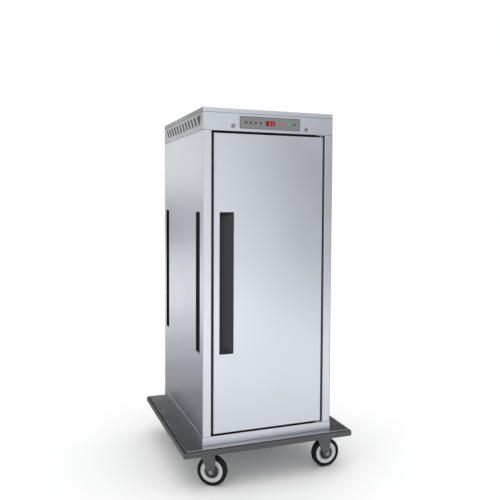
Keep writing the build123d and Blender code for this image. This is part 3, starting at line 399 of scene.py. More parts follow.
paintLooks = {
    "casterPaint": {  # passivated zinc on the pressed forks, dull and dark
        "light": (0.125, 0.126, 0.132), "dark": (0.07, 0.071, 0.075), "gloss": (0.36, 0.52),
        "metallic": 0.55, "scale": 700.0, "depth": 0.12, "cloudScale": 34.0,
    },
    "blackGrip": {
        "light": (0.012, 0.012, 0.013), "dark": (0.006, 0.006, 0.0065), "gloss": (0.38, 0.52),
        "scale": 1100.0, "depth": 0.22, "cloudScale": 9.0, "shine": 0.32,
    },
    "sideGrip": {
        "light": (0.006, 0.006, 0.0065), "dark": (0.003, 0.003, 0.0035), "gloss": (0.45, 0.6),
        "scale": 1100.0, "depth": 0.22, "cloudScale": 9.0, "shine": 0.10,
    },
    "paintedLitGripRamp": {  # where fingers slide in, the slanted wall is painted paler as the light that falls on it
        "light": (0.029, 0.030, 0.032), "dark": (0.019, 0.020, 0.022), "gloss": (0.4, 0.52),
        "scale": 1100.0, "depth": 0.22, "cloudScale": 9.0, "shine": 0.32,
    },
    "paintedGapShade": {  # painted shade on the folds that face each other in the door gap, and on the deck's folds behind the bumper
        "light": (0.045, 0.045, 0.047), "dark": (0.022, 0.022, 0.023), "gloss": (0.5, 0.65),
        "scale": 1400.0, "depth": 0.12, "cloudScale": 30.0, "shine": 0.25,
    },
    "blackPlastic": {
        "light": (0.024, 0.024, 0.026), "dark": (0.012, 0.012, 0.013), "gloss": (0.32, 0.45),
        "scale": 1500.0, "depth": 0.15, "cloudScale": 40.0,
    },
    "panelOverlay": {  # printed polyester film
        "light": (0.185, 0.19, 0.198), "dark": (0.155, 0.16, 0.168), "gloss": (0.40, 0.48),
        "scale": 1800.0, "depth": 0.08, "cloudScale": 22.0,
    },
    "paintedGapSideShade": {  # painted shade on the upright folds of the door gap, less dark than on the level ones because more light reaches them
        "light": (0.27, 0.275, 0.285), "dark": (0.21, 0.215, 0.225), "gloss": (0.45, 0.6),
        "scale": 1400.0, "depth": 0.12, "cloudScale": 30.0, "shine": 0.4,
    },
    "panelRim": {
        "light": (0.06, 0.06, 0.063), "dark": (0.04, 0.04, 0.042), "gloss": (0.34, 0.42),
        "scale": 1800.0, "depth": 0.08, "cloudScale": 22.0,
    },
    "wheelPlastic": {
        "light": (0.62, 0.63, 0.66), "dark": (0.52, 0.53, 0.56), "gloss": (0.36, 0.5),
        "scale": 900.0, "depth": 0.10, "cloudScale": 30.0,
    },
    "hubPlastic": {
        "light": (0.028, 0.028, 0.031), "dark": (0.014, 0.014, 0.016), "gloss": (0.4, 0.52),
        "scale": 900.0, "depth": 0.14, "cloudScale": 40.0, "shine": 0.35,
    },
    "tyreRubber": {
        "light": (0.012, 0.012, 0.0125), "dark": (0.006, 0.006, 0.0065), "gloss": (0.55, 0.75),
        "scale": 800.0, "depth": 0.25, "cloudScale": 28.0, "shine": 0.12,
    },
    "bumperRubber": {
        "light": (0.070, 0.072, 0.075), "dark": (0.044, 0.046, 0.048), "gloss": (0.42, 0.62),
        "scale": 700.0, "depth": 0.18, "cloudScale": 7.0,
    },
    "sealRubber": {
        "light": (0.04, 0.04, 0.042), "dark": (0.02, 0.02, 0.021), "gloss": (0.5, 0.65),
        "scale": 1000.0, "depth": 0.18, "cloudScale": 14.0,
    },
    "bushPlastic": {
        "light": (0.62, 0.61, 0.57), "dark": (0.55, 0.54, 0.50), "gloss": (0.34, 0.45),
        "scale": 1200.0, "depth": 0.08, "cloudScale": 60.0,
    },
    "greyBox": {
        "light": (0.20, 0.205, 0.21), "dark": (0.15, 0.155, 0.16), "gloss": (0.42, 0.55),
        "scale": 900.0, "depth": 0.14, "cloudScale": 20.0,
    },
    "mineralWool": {
        "light": (0.58, 0.50, 0.30), "dark": (0.34, 0.28, 0.15), "gloss": (0.85, 0.97),
        "scale": 420.0, "depth": 0.9, "cloudScale": 60.0,
    },
}


def makePaint(name, look):
    material, tree, shader = newMaterial(name)
    mould = placeEffect(tree, "mould", Scale=look["scale"], Depth=look["depth"])
    clouds = placeEffect(tree, "clouds", Scale=look["cloudScale"])
    speckle = mixColours(tree, mould["Grain"], look["dark"], look["light"])
    patches = spreadValue(tree, clouds["Mask"], 0.0, wear["paintPatches"])
    tone = mixColours(tree, patches, speckle, look["light"])
    tree.links.new(tone, shader.inputs["Base Color"])
    tree.links.new(spreadValue(tree, clouds["Mask"], *look["gloss"]), shader.inputs["Roughness"])
    tree.links.new(mould["Normal"], shader.inputs["Normal"])
    shader.inputs["Metallic"].default_value = look.get("metallic", 0.0)
    shader.inputs["Specular IOR Level"].default_value = look.get("shine", 0.5)
    return material


lampLooks = {
    "displayGlass": {"tint": (0.095, 0.006, 0.008), "glow": (0.4, 0.01, 0.02), "power": 0.12},
    "displayDigit": {"tint": (0.8, 0.04, 0.04), "glow": (1.0, 0.07, 0.07), "power": 0.9},
    "redLamp": {"tint": (0.55, 0.012, 0.012), "glow": (1.0, 0.02, 0.02), "power": 0.35},
    "greenLamp": {"tint": (0.02, 0.30, 0.04), "glow": (0.03, 0.7, 0.07), "power": 0.35},
    "darkLamp": {"tint": (0.05, 0.06, 0.06), "glow": (0.1, 0.1, 0.1), "power": 0.0},
}
lampShell = {"scale": 1200.0, "depth": 0.05, "shade": 0.7, "gloss": (0.12, 0.2), "coat": 0.1, "shine": 0.3}


def makeLamp(name, look):
    material, tree, shader = newMaterial(name)
    mould = placeEffect(tree, "mould", Scale=lampShell["scale"], Depth=lampShell["depth"])
    shade = tuple(lampShell["shade"] * part for part in look["tint"])
    tree.links.new(mixColours(tree, mould["Grain"], shade, look["tint"]), shader.inputs["Base Color"])
    tree.links.new(spreadValue(tree, mould["Grain"], *lampShell["gloss"]), shader.inputs["Roughness"])
    tree.links.new(mould["Normal"], shader.inputs["Normal"])
    shader.inputs["Emission Color"].default_value = (*look["glow"], 1)
    shader.inputs["Emission Strength"].default_value = look["power"]
    shader.inputs["Coat Weight"].default_value = lampShell["coat"]
    shader.inputs["Specular IOR Level"].default_value = lampShell["shine"]
    return material


materials = {}
for name, look in metalLooks.items():
    materials[name] = makeMetal(name, look)
for name, look in paintLooks.items():
    materials[name] = makePaint(name, look)
for name, look in lampLooks.items():
    materials[name] = makeLamp(name, look)
print("materials ready,", len(materials))


casterNames = ("front_left", "front_right", "rear_left", "rear_right")
nodeFinish = {
    "outerSteel": ["front_stiles", "left_side_panel", "right_side_panel", "rear_panel", "door_skin"],
    "topSteel": ["base_rails", "front_crossrails", "fascia", "top_rear_panel", "top_lid"],
    "ventSteel": ["vent_panels"],
    "deckSteel": ["deck_plate"],
    "innerSteel": [
        "cavity_liner", "rack_uprights", "tray_runners", "rear_duct_panel", "fan_guard_plate", "door_liner",
    ],
    "zincPlate": [
        "machine_tray", "deck_chassis", "caster_plates", "caster_bolts", "hinge_brackets", "fan_motor",
    ],
    "casterPaint": [f"caster_fork_{name}" for name in casterNames]
    + ["brake_pedal_rear_left", "brake_pedal_rear_right"],
    "castAluminium": ["fan_impeller"],
    "heaterSheath": ["heater_element", "temperature_probe"],
    "polishedLock": ["lock_housings", "lock_plug_left", "lock_plug_right"],
    "mineralWool": ["wall_insulation", "door_core"],
    "blackGrip": ["door_grip"],
    "sideGrip": ["side_grips"],
    "blackPlastic": ["power_inlet", "key_1", "key_2", "key_3", "key_4"],
    "greyBox": ["control_box"],
    "bushPlastic": ["door_bushes"],
    "panelOverlay": ["control_panel"],
    "displayGlass": ["display_window"],
    "darkLamp": ["indicator_lenses"],
    "sealRubber": ["door_gasket"],
    "bumperRubber": ["bumper"],
    "tyreRubber": [f"tyre_{name}" for name in casterNames],
    "wheelPlastic": [f"wheel_centre_{name}" for name in casterNames],
}
for finish, names in nodeFinish.items():
    for name in names:
        nodes[name].data.materials.clear()
        nodes[name].data.materials.append(materials[finish])
print("finishes on", sum(len(names) for names in nodeFinish.values()), "nodes")


# Modelling steps that several pieces share.
def deselectAll():
    if bpy.context.object and bpy.context.object.mode == "EDIT":
        bpy.ops.object.mode_set(mode="OBJECT")
    bpy.ops.object.select_all(action="DESELECT")


def takeUp(piece):  # makes the piece the only one that operators act on
    deselectAll()
    piece.select_set(True)
    bpy.context.view_layer.objects.active = piece


def pickOut(piece, kind, chosen):  # into edit mode, with only the chosen faces or corners selected
    takeUp(piece)
    bpy.ops.object.mode_set(mode="EDIT")
    bpy.ops.mesh.select_mode(type=kind)
    bpy.ops.mesh.select_all(action="DESELECT")
    bpy.ops.object.mode_set(mode="OBJECT")
    for part in piece.data.polygons if kind == "FACE" else piece.data.vertices:
        part.select = chosen(part)
    bpy.ops.object.mode_set(mode="EDIT")


def startShape():  # into edit mode on the new primitive, all of it selected by its corners
    bpy.ops.object.mode_set(mode="EDIT")
    bpy.ops.mesh.select_mode(type="VERT")
    bpy.ops.mesh.select_all(action="SELECT")


def joinUp(parts):
    deselectAll()
    for part in parts:
        part.select_set(True)
    bpy.context.view_layer.objects.active = parts[0]
    bpy.ops.object.join()
    return bpy.context.object


def pickEnd(piece, axis):  # into edit mode, with only the face furthest along an axis selected
    end = max(face.center[axis] for face in piece.data.polygons)
    pickOut(piece, "FACE", lambda face: face.center[axis] > end - 0.00001)


def cleanShape():  # in edit mode: joins what meets and turns the faces outwards
    bpy.ops.mesh.select_all(action="SELECT")
    bpy.ops.mesh.remove_doubles(threshold=0.00001)
    bpy.ops.mesh.normals_make_consistent(inside=False)
    bpy.ops.object.mode_set(mode="OBJECT")
    return bpy.context.object


def spinShape(section, steps=72, closed=True):
    # The section is (radius, height) points, turned about the Z axis.
    deselectAll()
    bpy.ops.mesh.primitive_plane_add(size=0.01)
    startShape()
    bpy.ops.mesh.merge(type="CENTER")
    bpy.ops.transform.translate(value=(section[0][0], 0, section[0][1]))
    ends = section[1:] + section[:1] if closed else section[1:]
    for (radius, height), (nextRadius, nextHeight) in zip(section, ends):
        step = (nextRadius - radius, 0, nextHeight - height)
        bpy.ops.mesh.extrude_region_move(TRANSFORM_OT_translate={"value": step})
    bpy.ops.mesh.select_all(action="SELECT")
    bpy.ops.mesh.spin(steps=steps, angle=math.tau, center=(0, 0, 0), axis=(0, 0, 1))
    return cleanShape()


def frameShape(halfX, halfY, corner, section):
    # A strip that runs round a rectangle with rounded corners. The section is
    # (distance outside the rectangle, height) points.
    deselectAll()
    bpy.ops.mesh.primitive_plane_add(size=2)
    startShape()
    bpy.ops.transform.resize(value=(halfX, halfY, 1), center_override=(0, 0, 0))
    if corner:
        bpy.ops.mesh.bevel(offset=corner, segments=8, affect="VERTICES")
    bpy.ops.mesh.delete(type="ONLY_FACE")
    bpy.ops.mesh.select_all(action="SELECT")
    out, height = section[0]
    first = ((halfX + out) / halfX, (halfY + out) / halfY, 1)
    bpy.ops.transform.resize(value=first, center_override=(0, 0, 0))
    bpy.ops.transform.translate(value=(0, 0, height))
    for nextOut, nextHeight in section[1:] + section[:1]:
        bpy.ops.mesh.extrude_edges_move(TRANSFORM_OT_translate={"value": (0, 0, nextHeight - height)})
        step = ((halfX + nextOut) / (halfX + out), (halfY + nextOut) / (halfY + out), 1)
        bpy.ops.transform.resize(value=step, center_override=(0, 0, 0))
        out, height = nextOut, nextHeight
    return cleanShape()


def copyNode(name):
    # A copy of a CAD node's mesh, with its loose triangles joined into whole faces.
    piece = bpy.data.objects.new(name + "Copy", nodes[name].data.copy())
    scene.collection.objects.link(piece)
    takeUp(piece)
    bpy.ops.object.mode_set(mode="EDIT")
    bpy.ops.mesh.select_all(action="SELECT")
    bpy.ops.mesh.remove_doubles(threshold=0.00001)
    bpy.ops.mesh.dissolve_limited(angle_limit=math.radians(1))
    bpy.ops.object.mode_set(mode="OBJECT")
    return piece


def softenEdges(piece, width, segments=2, angle=30):
    takeUp(piece)
    if width:
        edge = piece.modifiers.new("softEdge", "BEVEL")
        edge.width = width
        edge.segments = segments
        edge.limit_method = "ANGLE"
        edge.angle_limit = math.radians(angle)
        bpy.ops.object.modifier_apply(modifier="softEdge")
    bpy.ops.object.shade_smooth_by_angle(angle=math.radians(40))
    if width:  # so that the flat faces stay flat right up to their worn edges
        flat = piece.modifiers.new("flatFaces", "WEIGHTED_NORMAL")
        flat.keep_sharp = True
        bpy.ops.object.modifier_apply(modifier="flatFaces")
    return piece


def setDown(piece, place, along=(0, 0, 1)):  # turns its Z axis along a direction, and moves it
    takeUp(piece)
    piece.rotation_euler = Vector((0, 0, 1)).rotation_difference(Vector(along)).to_euler()
    piece.location = place
    bpy.ops.object.transform_apply(location=True, rotation=True, scale=True)
    return piece


def copyOf(piece):
    twin = bpy.data.objects.new(piece.name + "Twin", piece.data.copy())
    scene.collection.objects.link(twin)
    return twin


def addPiece(piece, name, finish, body, replaced=()):
    piece.name = name
    piece.data.name = name
    piece.data.materials.clear()
    piece.data.materials.append(materials[finish])
    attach(piece, body)
    if replaced:
        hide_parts(*replaced)
    return piece


def bothWays(half):  # a section's half, and its mirror image on the other side
    return half + [(radius, -height) for radius, height in reversed(half)]


joints = {joint["name"]: joint for joint in frame["joints"]}


# Caster wheels. Sections are (radius, distance from the middle plane) in metres.
wheel = {
    "tyre": [
        (0.0560, 0.0150), (0.0590, 0.0168), (0.0625, 0.0170), (0.0680, 0.0170), (0.0706, 0.0165),
        (0.0729, 0.0148), (0.0743, 0.0120), (0.0749, 0.0075), (0.0750, 0.0020),
    ],
    "centre": [
        (0.00505, 0.0200), (0.0170, 0.0200), (0.0190, 0.0110), (0.0240, 0.0094), (0.0440, 0.0108),
        (0.0470, 0.0120), (0.0490, 0.0146), (0.0503, 0.0150), (0.0560, 0.0150),
    ],
    "cover": [
        (0.0052, 0.0203), (0.0052, 0.0228), (0.0200, 0.0228), (0.0222, 0.0220), (0.0235, 0.0222),
        (0.0345, 0.0182), (0.0350, 0.0176), (0.0350, 0.0156), (0.0210, 0.0203),
    ],
    "boltHead": {"radius": 0.0092, "from": 0.0265, "height": 0.0062, "dimple": 0.0030},
    "boltNut": {"radius": 0.0092, "from": 0.0265, "height": 0.0078, "dimple": 0.0},
    "headInset": 0.14,  # a share of the head's radius
    "dimpleInset": 0.42,  # the same
    "headCrown": 0.10,  # a share of the head's height
    "shaft": 0.0050,
    "shaftProud": 0.0015,  # past the nut
    "shaftChamfer": 0.0006,
    "edge": 0.0003,  # how far the edges of bolt heads and covers are worn back
    "centreEdge": 0.0004,
    "forkEdge": 0.0006,
    "pinHole": 0.0033,  # what lies within this of a pedal's axis is the wall of its pin hole
    "pinPlay": 0.00015,
}


def hexagonShape(look):
    deselectAll()
    middle = look["from"] + look["height"] / 2
    bpy.ops.mesh.primitive_cylinder_add(
        vertices=6, radius=look["radius"], depth=look["height"], location=(0, 0, middle)
    )
    head = bpy.context.object
    bpy.ops.object.transform_apply(location=True, rotation=False, scale=False)
    pickEnd(head, 2)
    bpy.ops.mesh.inset(thickness=look["radius"] * wheel["headInset"])
    bpy.ops.transform.translate(value=(0, 0, look["height"] * wheel["headCrown"]))
    if look["dimple"]:
        bpy.ops.mesh.inset(thickness=look["radius"] * wheel["dimpleInset"])
        bpy.ops.mesh.extrude_region_move(TRANSFORM_OT_translate={"value": (0, 0, -look["dimple"])})
    bpy.ops.object.mode_set(mode="OBJECT")
    return softenEdges(head, wheel["edge"], 2, 25)


def makeAxle():
    parts = []
    for side, look in ((-1, wheel["boltHead"]), (1, wheel["boltNut"])):
        part = hexagonShape(look)
        if side < 0:
            setDown(part, (0, 0, 0), (0, 0, -1))
        parts.append(part)
    end = wheel["boltNut"]["from"] + wheel["boltNut"]["height"] + wheel["shaftProud"]
    start = -wheel["boltHead"]["from"]
    radius, chamfer = wheel["shaft"], wheel["shaftChamfer"]
    section = [(0, start), (radius, start), (radius, end - chamfer), (radius - chamfer, end), (0, end)]
    parts.append(spinShape(section, 32, closed=False))
    return joinUp(parts)


def openPinHole(fork, joint):  # so that the hole's facets clear those of the pedal's pin
    place, along = Vector(joint["pos_m"]), Vector(joint["axis"])

    def onWall(face):
        offset = face.center - place
        reach = (offset - offset.dot(along) * along).length
        return reach < wheel["pinHole"] and abs(face.normal.dot(along)) < 0.1

    pickOut(fork, "FACE", onWall)
    bpy.ops.transform.shrink_fatten(value=-wheel["pinPlay"])
    bpy.ops.object.mode_set(mode="OBJECT")


def forkShape(name):
    # The fork is the largest loose part of its node. The others are made afresh.
    copyNode(f"caster_fork_{name}")
    bpy.ops.object.mode_set(mode="EDIT")
    bpy.ops.mesh.separate(type="LOOSE")
    bpy.ops.object.mode_set(mode="OBJECT")
    parts = sorted(bpy.context.selected_objects, key=lambda part: part.dimensions.length)
    for part in parts[:-1]:
        bpy.data.objects.remove(part)
    if f"pedal_{name}" in joints:
        openPinHole(parts[-1], joints[f"pedal_{name}"])
    return softenEdges(parts[-1], wheel["forkEdge"], 2, 35)


def makeCasters():
    tyre = softenEdges(spinShape(bothWays(wheel["tyre"]), 96), 0)
    centre = softenEdges(spinShape(bothWays(wheel["centre"]), 96), wheel["centreEdge"], 2, 20)
    cover = softenEdges(spinShape(wheel["cover"], 72), wheel["edge"], 2, 20)
    axle = makeAxle()
    for name in casterNames:
        roll = joints[f"roll_{name}"]
        place, along = roll["pos_m"], Vector(roll["axis"])
        wheelBody, forkBody = f"wheel_{name}", f"caster_{name}"
        addPiece(setDown(copyOf(tyre), place, along), f"tyre_{name}_round", "tyreRubber", wheelBody,
                 [f"tyre_{name}"])
        addPiece(setDown(copyOf(centre), place, along), f"wheel_{name}_disc", "wheelPlastic", wheelBody,
                 [f"wheel_centre_{name}"])
        addPiece(forkShape(name), f"fork_{name}_pressed", "casterPaint", forkBody,
                 [f"caster_fork_{name}"])
        for side, way in (("near", -along), ("far", along)):
            addPiece(setDown(copyOf(cover), place, way), f"hub_cover_{name}_{side}", "hubPlastic", forkBody)
        addPiece(setDown(copyOf(axle), place, along), f"axle_bolt_{name}", "brightBolt", forkBody)
    for model in (tyre, centre, cover, axle):
        bpy.data.objects.remove(model)
    print("casters ready")


makeCasters()


# Bumper: a hollow rubber strip pressed on the deck's edge, with a groove along its top.
bumperStrip = {
    "corner": 0.008,
    "section": [  # (distance outside the deck, height under the deck's top)
        (0.0000, -0.0320), (0.0090, -0.0316), (0.0120, -0.0296), (0.0130, -0.0262), (0.0130, -0.0104),
        (0.0125, -0.0070), (0.0111, -0.0048), (0.0089, -0.0040), (0.0064, -0.0044), (0.0050, -0.0062),
        (0.0046, -0.0160), (0.0000, -0.0165),
    ],
}


def makeBumper():
    low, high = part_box("deck_plate")
    half = (high - low) / 2
    strip = frameShape(half.x, half.y, bumperStrip["corner"], bumperStrip["section"])
    setDown(strip, ((low.x + high.x) / 2, (low.y + high.y) / 2, high.z))
    softenEdges(strip, 0)
    addPiece(strip, "bumper_strip", "bumperRubber", "cabinet", ["bumper"])
    print("bumper ready")


makeBumper()


# Folded sheet, plates and mouldings keep their CAD shape, with the edges worn soft.
softCopies = {
    # edge radius in metres: the nodes
    0.0003: ["power_inlet", "vent_panels", "top_rear_panel", "tray_runners", "rack_uprights",
             "rear_duct_panel"],
    0.0004: ["door_skin", "left_side_panel", "right_side_panel", "rear_panel",
             "hinge_brackets", "front_crossrails", "control_panel", "door_liner"],
    0.0005: ["front_stiles", "base_rails", "caster_plates", "caster_bolts", "deck_chassis",
             "brake_pedal_rear_left", "brake_pedal_rear_right"],
    0.0006: ["top_lid", "fascia"],
    0.0007: ["side_grips", "door_grip"],
    0.0012: ["deck_plate"],
}
# Places on the CAD shapes, in metres, that tell where a node's second finish goes.
gap = {"halfWidth": 0.3035, "low": 0.2445, "high": 1.7395, "front": -0.4155, "back": -0.3650}
rimFront = -0.4178  # what lies in front of this on the control panel is its raised rim
lidSide = 0.3440  # what lies outside this on the lid is its sides
deckEdge = 0.2030  # the deck's folds under this lie behind the bumper


def inGap(face):  # a fold that faces into the gap round the door
    x, y, z = face.center
    inside = abs(x) < gap["halfWidth"] and gap["low"] < z < gap["high"]
    return inside and gap["front"] < y < gap["back"]


def inSideGap(face):  # an upright one of those folds
    return inGap(face) and abs(face.normal.x) > 0.7


def onRamp(face):  # the slanted wall of a grip, where the fingers go in
    return abs(face.normal.x * face.normal.y) > 0.3 and abs(face.normal.z) < 0.1


def onRim(face):
    return face.center.y < rimFront


def onLidSide(face):
    return abs(face.center.x) > lidSide


def behindBumper(face):
    return face.center.z < deckEdge


# Where a face passes two tests, it takes the later finish.
secondFinish = {
    # the door gap's folds and the deck's folds behind the bumper take painted shade
    "door_skin": [("paintedGapShade", inGap), ("paintedGapSideShade", inSideGap)],
    "front_stiles": [("paintedGapShade", inGap), ("paintedGapSideShade", inSideGap)],
    "fascia": [("paintedGapShade", inGap)], "front_crossrails": [("paintedGapShade", inGap)],
    "base_rails": [("paintedGapShade", inGap)], "deck_plate": [("paintedGapShade", behindBumper)],
    # the lid's sides take painted shade
    "control_panel": [("panelRim", onRim)], "top_lid": [("paintedShadeLidSteel", onLidSide)],
    # the grip's slanted wall takes painted light
    "door_grip": [("paintedLitGripRamp", onRamp)],
}


def addSecondFinish(piece, name):
    for number, (finish, chosen) in enumerate(secondFinish.get(name, []), 1):
        piece.data.materials.append(materials[finish])
        for face in piece.data.polygons:
            if chosen(face):
                face.material_index = number


def makeSoftCopies():
    bodyOf = {}
    for body, names in frame["record"]["behaviour"]["bodies"].items():
        bodyOf.update((name, body) for name in names)
    finishOf = {name: finish for finish, names in nodeFinish.items() for name in names}
    for radius, names in softCopies.items():
        for name in names:
            piece = copyNode(name)
            finish = finishOf[name]
            piece.data.materials.clear()
            piece.data.materials.append(materials[finish])
            addSecondFinish(piece, name)
            softenEdges(piece, radius)
            piece.name = piece.data.name = f"{name}_soft"
            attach(piece, bodyOf[name])
            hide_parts(name)
    print("soft copies ready,", sum(len(names) for names in softCopies.values()))


makeSoftCopies()


# Control panel: domed keys, lamp caps and the digits on the display.
panel = {
    "height": 1.782,
    "face": -0.4175,  # the overlay's front
    "fascia": -0.4160,
    "keys": {"key_1": -0.1270, "key_2": -0.1015, "key_3": -0.0765, "key_4": -0.0515},
    "keySection": [  # (radius, distance in front of the fascia)
        (0, 0.0031), (0.0026, 0.0030), (0.0042, 0.0026), (0.0052, 0.0019), (0.0055, 0.0009),
        (0.0055, -0.0003), (0.0069, -0.0003), (0.0069, -0.0018), (0.0021, -0.0018), (0.0021, -0.0080),
        (0, -0.0080),
    ],
    "lamps": [
        # name, place along the panel, finish, corners, quarter turns
        ("lamp_up", 0.0528, "redLamp", 3, 0),
        ("lamp_down", 0.0780, "redLamp", 3, 2),
        ("lamp_ready", 0.1027, "greenLamp", 48, 0),
        ("lamp_spare", 0.1288, "darkLamp", 48, 0),
    ],
    "lampRadius": {3: 0.0074, 48: 0.0055},
    "lampRise": 0.0008,
    "lampInset": 0.0012,
    "lampEdge": 0.0002,
    "digits": [("digit_tens", -0.0036, "abcdefg"), ("digit_units", 0.0124, "abcdef")],
    "digitHeight": 1.7805,
    "digitSize": (0.0088, 0.0132),
    "stroke": 0.0021,
    "strokeEdge": 0.00008,
    "strokeFill": 0.98,  # how much of its room along the digit a stroke fills
    "digitRise": 0.0002,
    "digitBury": 0.0006,
}
outward = (0, -1, 0)


def makeKeys():
    key = softenEdges(spinShape(panel["keySection"], 48, closed=False), 0)
    for name, x in panel["keys"].items():
        cap = setDown(copyOf(key), (x, panel["fascia"], panel["height"]), outward)
        addPiece(cap, f"{name}_dome", "blackPlastic", name, [name])
    bpy.data.objects.remove(key)


def makeLampCaps():
    for name, x, finish, corners, turns in panel["lamps"]:
        deselectAll()
        rise = panel["lampRise"]
        bpy.ops.mesh.primitive_cylinder_add(
            vertices=corners, radius=panel["lampRadius"][corners], depth=rise, location=(0, 0, rise / 2),
            rotation=(0, 0, turns * math.pi / 2),
        )
        cap = bpy.context.object
        bpy.ops.object.transform_apply(location=True, rotation=True, scale=True)
        pickEnd(cap, 2)
        bpy.ops.mesh.inset(thickness=panel["lampInset"])
        bpy.ops.transform.translate(value=(0, 0, rise / 3))
        bpy.ops.object.mode_set(mode="OBJECT")
        softenEdges(cap, panel["lampEdge"])
        setDown(cap, (x, panel["face"], panel["height"]), outward)
        addPiece(cap, name, finish, "cabinet")


def strokeShape(length, width, depth):  # a bar with pointed ends, along Y, drawn out from a hexagon
    deselectAll()
    bpy.ops.mesh.primitive_cylinder_add(vertices=6, radius=1, depth=1)
    bar = bpy.context.object
    bar.scale = (width / math.sqrt(3), length / 2, depth)
    bpy.ops.object.transform_apply(location=False, rotation=False, scale=True)
    pickOut(bar, "VERT", lambda corner: abs(corner.co.y) < length * 0.4)
    bpy.ops.transform.resize(value=(1, (length - width) * 2 / length, 1), center_override=(0, 0, 0))
    bpy.ops.object.mode_set(mode="OBJECT")
    return softenEdges(bar, panel["strokeEdge"], 1)


def makeDigits():
    wide, tall = panel["digitSize"]
    stroke = panel["stroke"]
    depth = panel["digitRise"] + panel["digitBury"]
    half = tall / 2 - stroke / 2
    side = wide / 2 - stroke / 2
    upright = strokeShape(half * panel["strokeFill"], stroke, depth)
    level = strokeShape(2 * side * panel["strokeFill"], stroke, depth)
    level.rotation_euler = (0, 0, math.pi / 2)
    takeUp(level)
    bpy.ops.object.transform_apply(location=False, rotation=True, scale=False)
    strokes = {
        "a": (level, 0, half), "g": (level, 0, 0), "d": (level, 0, -half),
        "b": (upright, side, half / 2), "c": (upright, side, -half / 2),
        "f": (upright, -side, half / 2), "e": (upright, -side, -half / 2),
    }
    middle = panel["face"] - panel["digitRise"] + depth / 2
    for name, x, lit in panel["digits"]:
        parts = []
        for letter in lit:
            model, across, up = strokes[letter]
            place = (x + across, middle, panel["digitHeight"] + up)
            parts.append(setDown(copyOf(model), place, outward))
        addPiece(joinUp(parts), name, "displayDigit", "cabinet")
    bpy.data.objects.remove(upright)
    bpy.data.objects.remove(level)
    print("control panel ready")


makeKeys()
makeLampCaps()
makeDigits()


# Locks: a turned ring on a barrel that goes back through the fascia.
lock = {
    "rings": [("lock_ring_left", "lock_plug_left", 0.0120), ("lock_ring_right", "lock_plug_right", 0.0105)],
    "bore": 0.0060,
    "plugGap": 0.0003,
    "barrel": 0.0080,
    "barrelLength": 0.0180,
    "rise": 0.0025,
    "bevel": 0.0012,
    "flatInset": 0.0002,
    "shoulder": 0.40,  # a share of the rise
    "dish": 0.55,  # the same
    "edge": 0.0002,
}


def makeLocks():
    for name, plug, radius in lock["rings"]:
        low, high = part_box(plug)
        x = (low.x + high.x) / 2
        z = high.z - lock["bore"] + lock["plugGap"]
        rise, bore, barrel = lock["rise"], lock["bore"], lock["barrel"]
        section = [
            (bore, -lock["barrelLength"]), (barrel, -lock["barrelLength"]), (barrel, 0), (radius, 0),
            (radius, rise * lock["shoulder"]), (radius - lock["bevel"], rise),
            (barrel - lock["flatInset"], rise), (bore, rise * lock["dish"]),
        ]
        ring = softenEdges(spinShape(section, 64), lock["edge"])
        setDown(ring, (x, panel["fascia"], z), outward)
        addPiece(ring, name, "polishedLock", "cabinet", ["lock_housings"])
    print("locks ready")


makeLocks()


# Door gasket: a bellows with a soft head that meets the land.
gasketFolds = {
    "width": 0.0115,
    "corner": 0.004,
    "section": [  # (share of the width from the middle, share of the depth)
        (-0.48, 0.0), (0.48, 0.0), (0.48, 0.14), (0.30, 0.24), (0.44, 0.40), (0.30, 0.54),
        (0.50, 0.66), (0.48, 0.86), (0.30, 0.99), (-0.30, 0.99), (-0.48, 0.86), (-0.50, 0.66),
        (-0.30, 0.54), (-0.44, 0.40), (-0.30, 0.24), (-0.48, 0.14),
    ],
}


def makeGasket():
    low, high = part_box("door_gasket")
    width = gasketFolds["width"]
    depth = high.y - low.y
    half = (high - low) / 2
    section = [(share * width, up * depth) for share, up in gasketFolds["section"]]
    ring = frameShape(half.x - width / 2, half.z - width / 2, gasketFolds["corner"], section)
    softenEdges(ring, 0)
    setDown(ring, ((low.x + high.x) / 2, low.y, (low.z + high.z) / 2), (0, 1, 0))
    addPiece(ring, "gasket_bellows", "sealRubber", "door", ["door_gasket"])
    print("gasket ready")


makeGasket()


# Vents: each slanted slot was punched on three sides, and its tongue bent inwards.
louvre = {
    "first": -0.3140, "slot": 0.030, "pitch": 0.061, "last": 0.3400,
    "wedge": (-0.3810, 0.036),  # the first one, whose front edge stands upright
    "low": 1.7620,
    "tall": 0.049,  # also the slant of a slot, from its lower edge to its upper one
    "thick": 0.0010,
    "sideLap": 0.0020,  # how much wider than its slot a tongue is
    "endLap": 0.0040,  # and how much taller
    "sink": 0.0070,
    "edge": 0.0003,
    "skin": 0.3436,
}


def makeTongue(side, start, width, upright):
    thick, tall = louvre["thick"], louvre["tall"]
    deselectAll()
    bpy.ops.mesh.primitive_cube_add(size=1)
    tongue = bpy.context.object
    tongue.scale = (thick, width + louvre["sideLap"], tall + louvre["endLap"])
    bpy.ops.object.transform_apply(location=False, rotation=False, scale=True)
    pickOut(tongue, "VERT", lambda corner: corner.co.y < 0)
    bpy.ops.transform.translate(value=(-side * louvre["sink"], 0, 0))
    bpy.ops.object.mode_set(mode="OBJECT")
    pickOut(tongue, "VERT", lambda corner: corner.co.z > 0 and (corner.co.y > 0 or not upright))
    bpy.ops.transform.translate(value=(0, tall, 0))
    bpy.ops.object.mode_set(mode="OBJECT")
    place = (side * (louvre["skin"] - thick), start + width / 2, louvre["low"] + tall / 2)
    return setDown(softenEdges(tongue, louvre["edge"]), place)


def makeLouvres():
    slots = [(*louvre["wedge"], True)]
    start = louvre["first"]
    while start + louvre["slot"] < louvre["last"]:
        slots.append((start, louvre["slot"], False))
        start += louvre["pitch"]
    parts = [makeTongue(side, *slot) for slot in slots for side in (-1, 1)]
    # the tongues carry painted shade
    addPiece(joinUp(parts), "vent_louvres", "tongueShadeSteel", "cabinet")
    print("louvres ready,", len(parts))


makeLouvres()
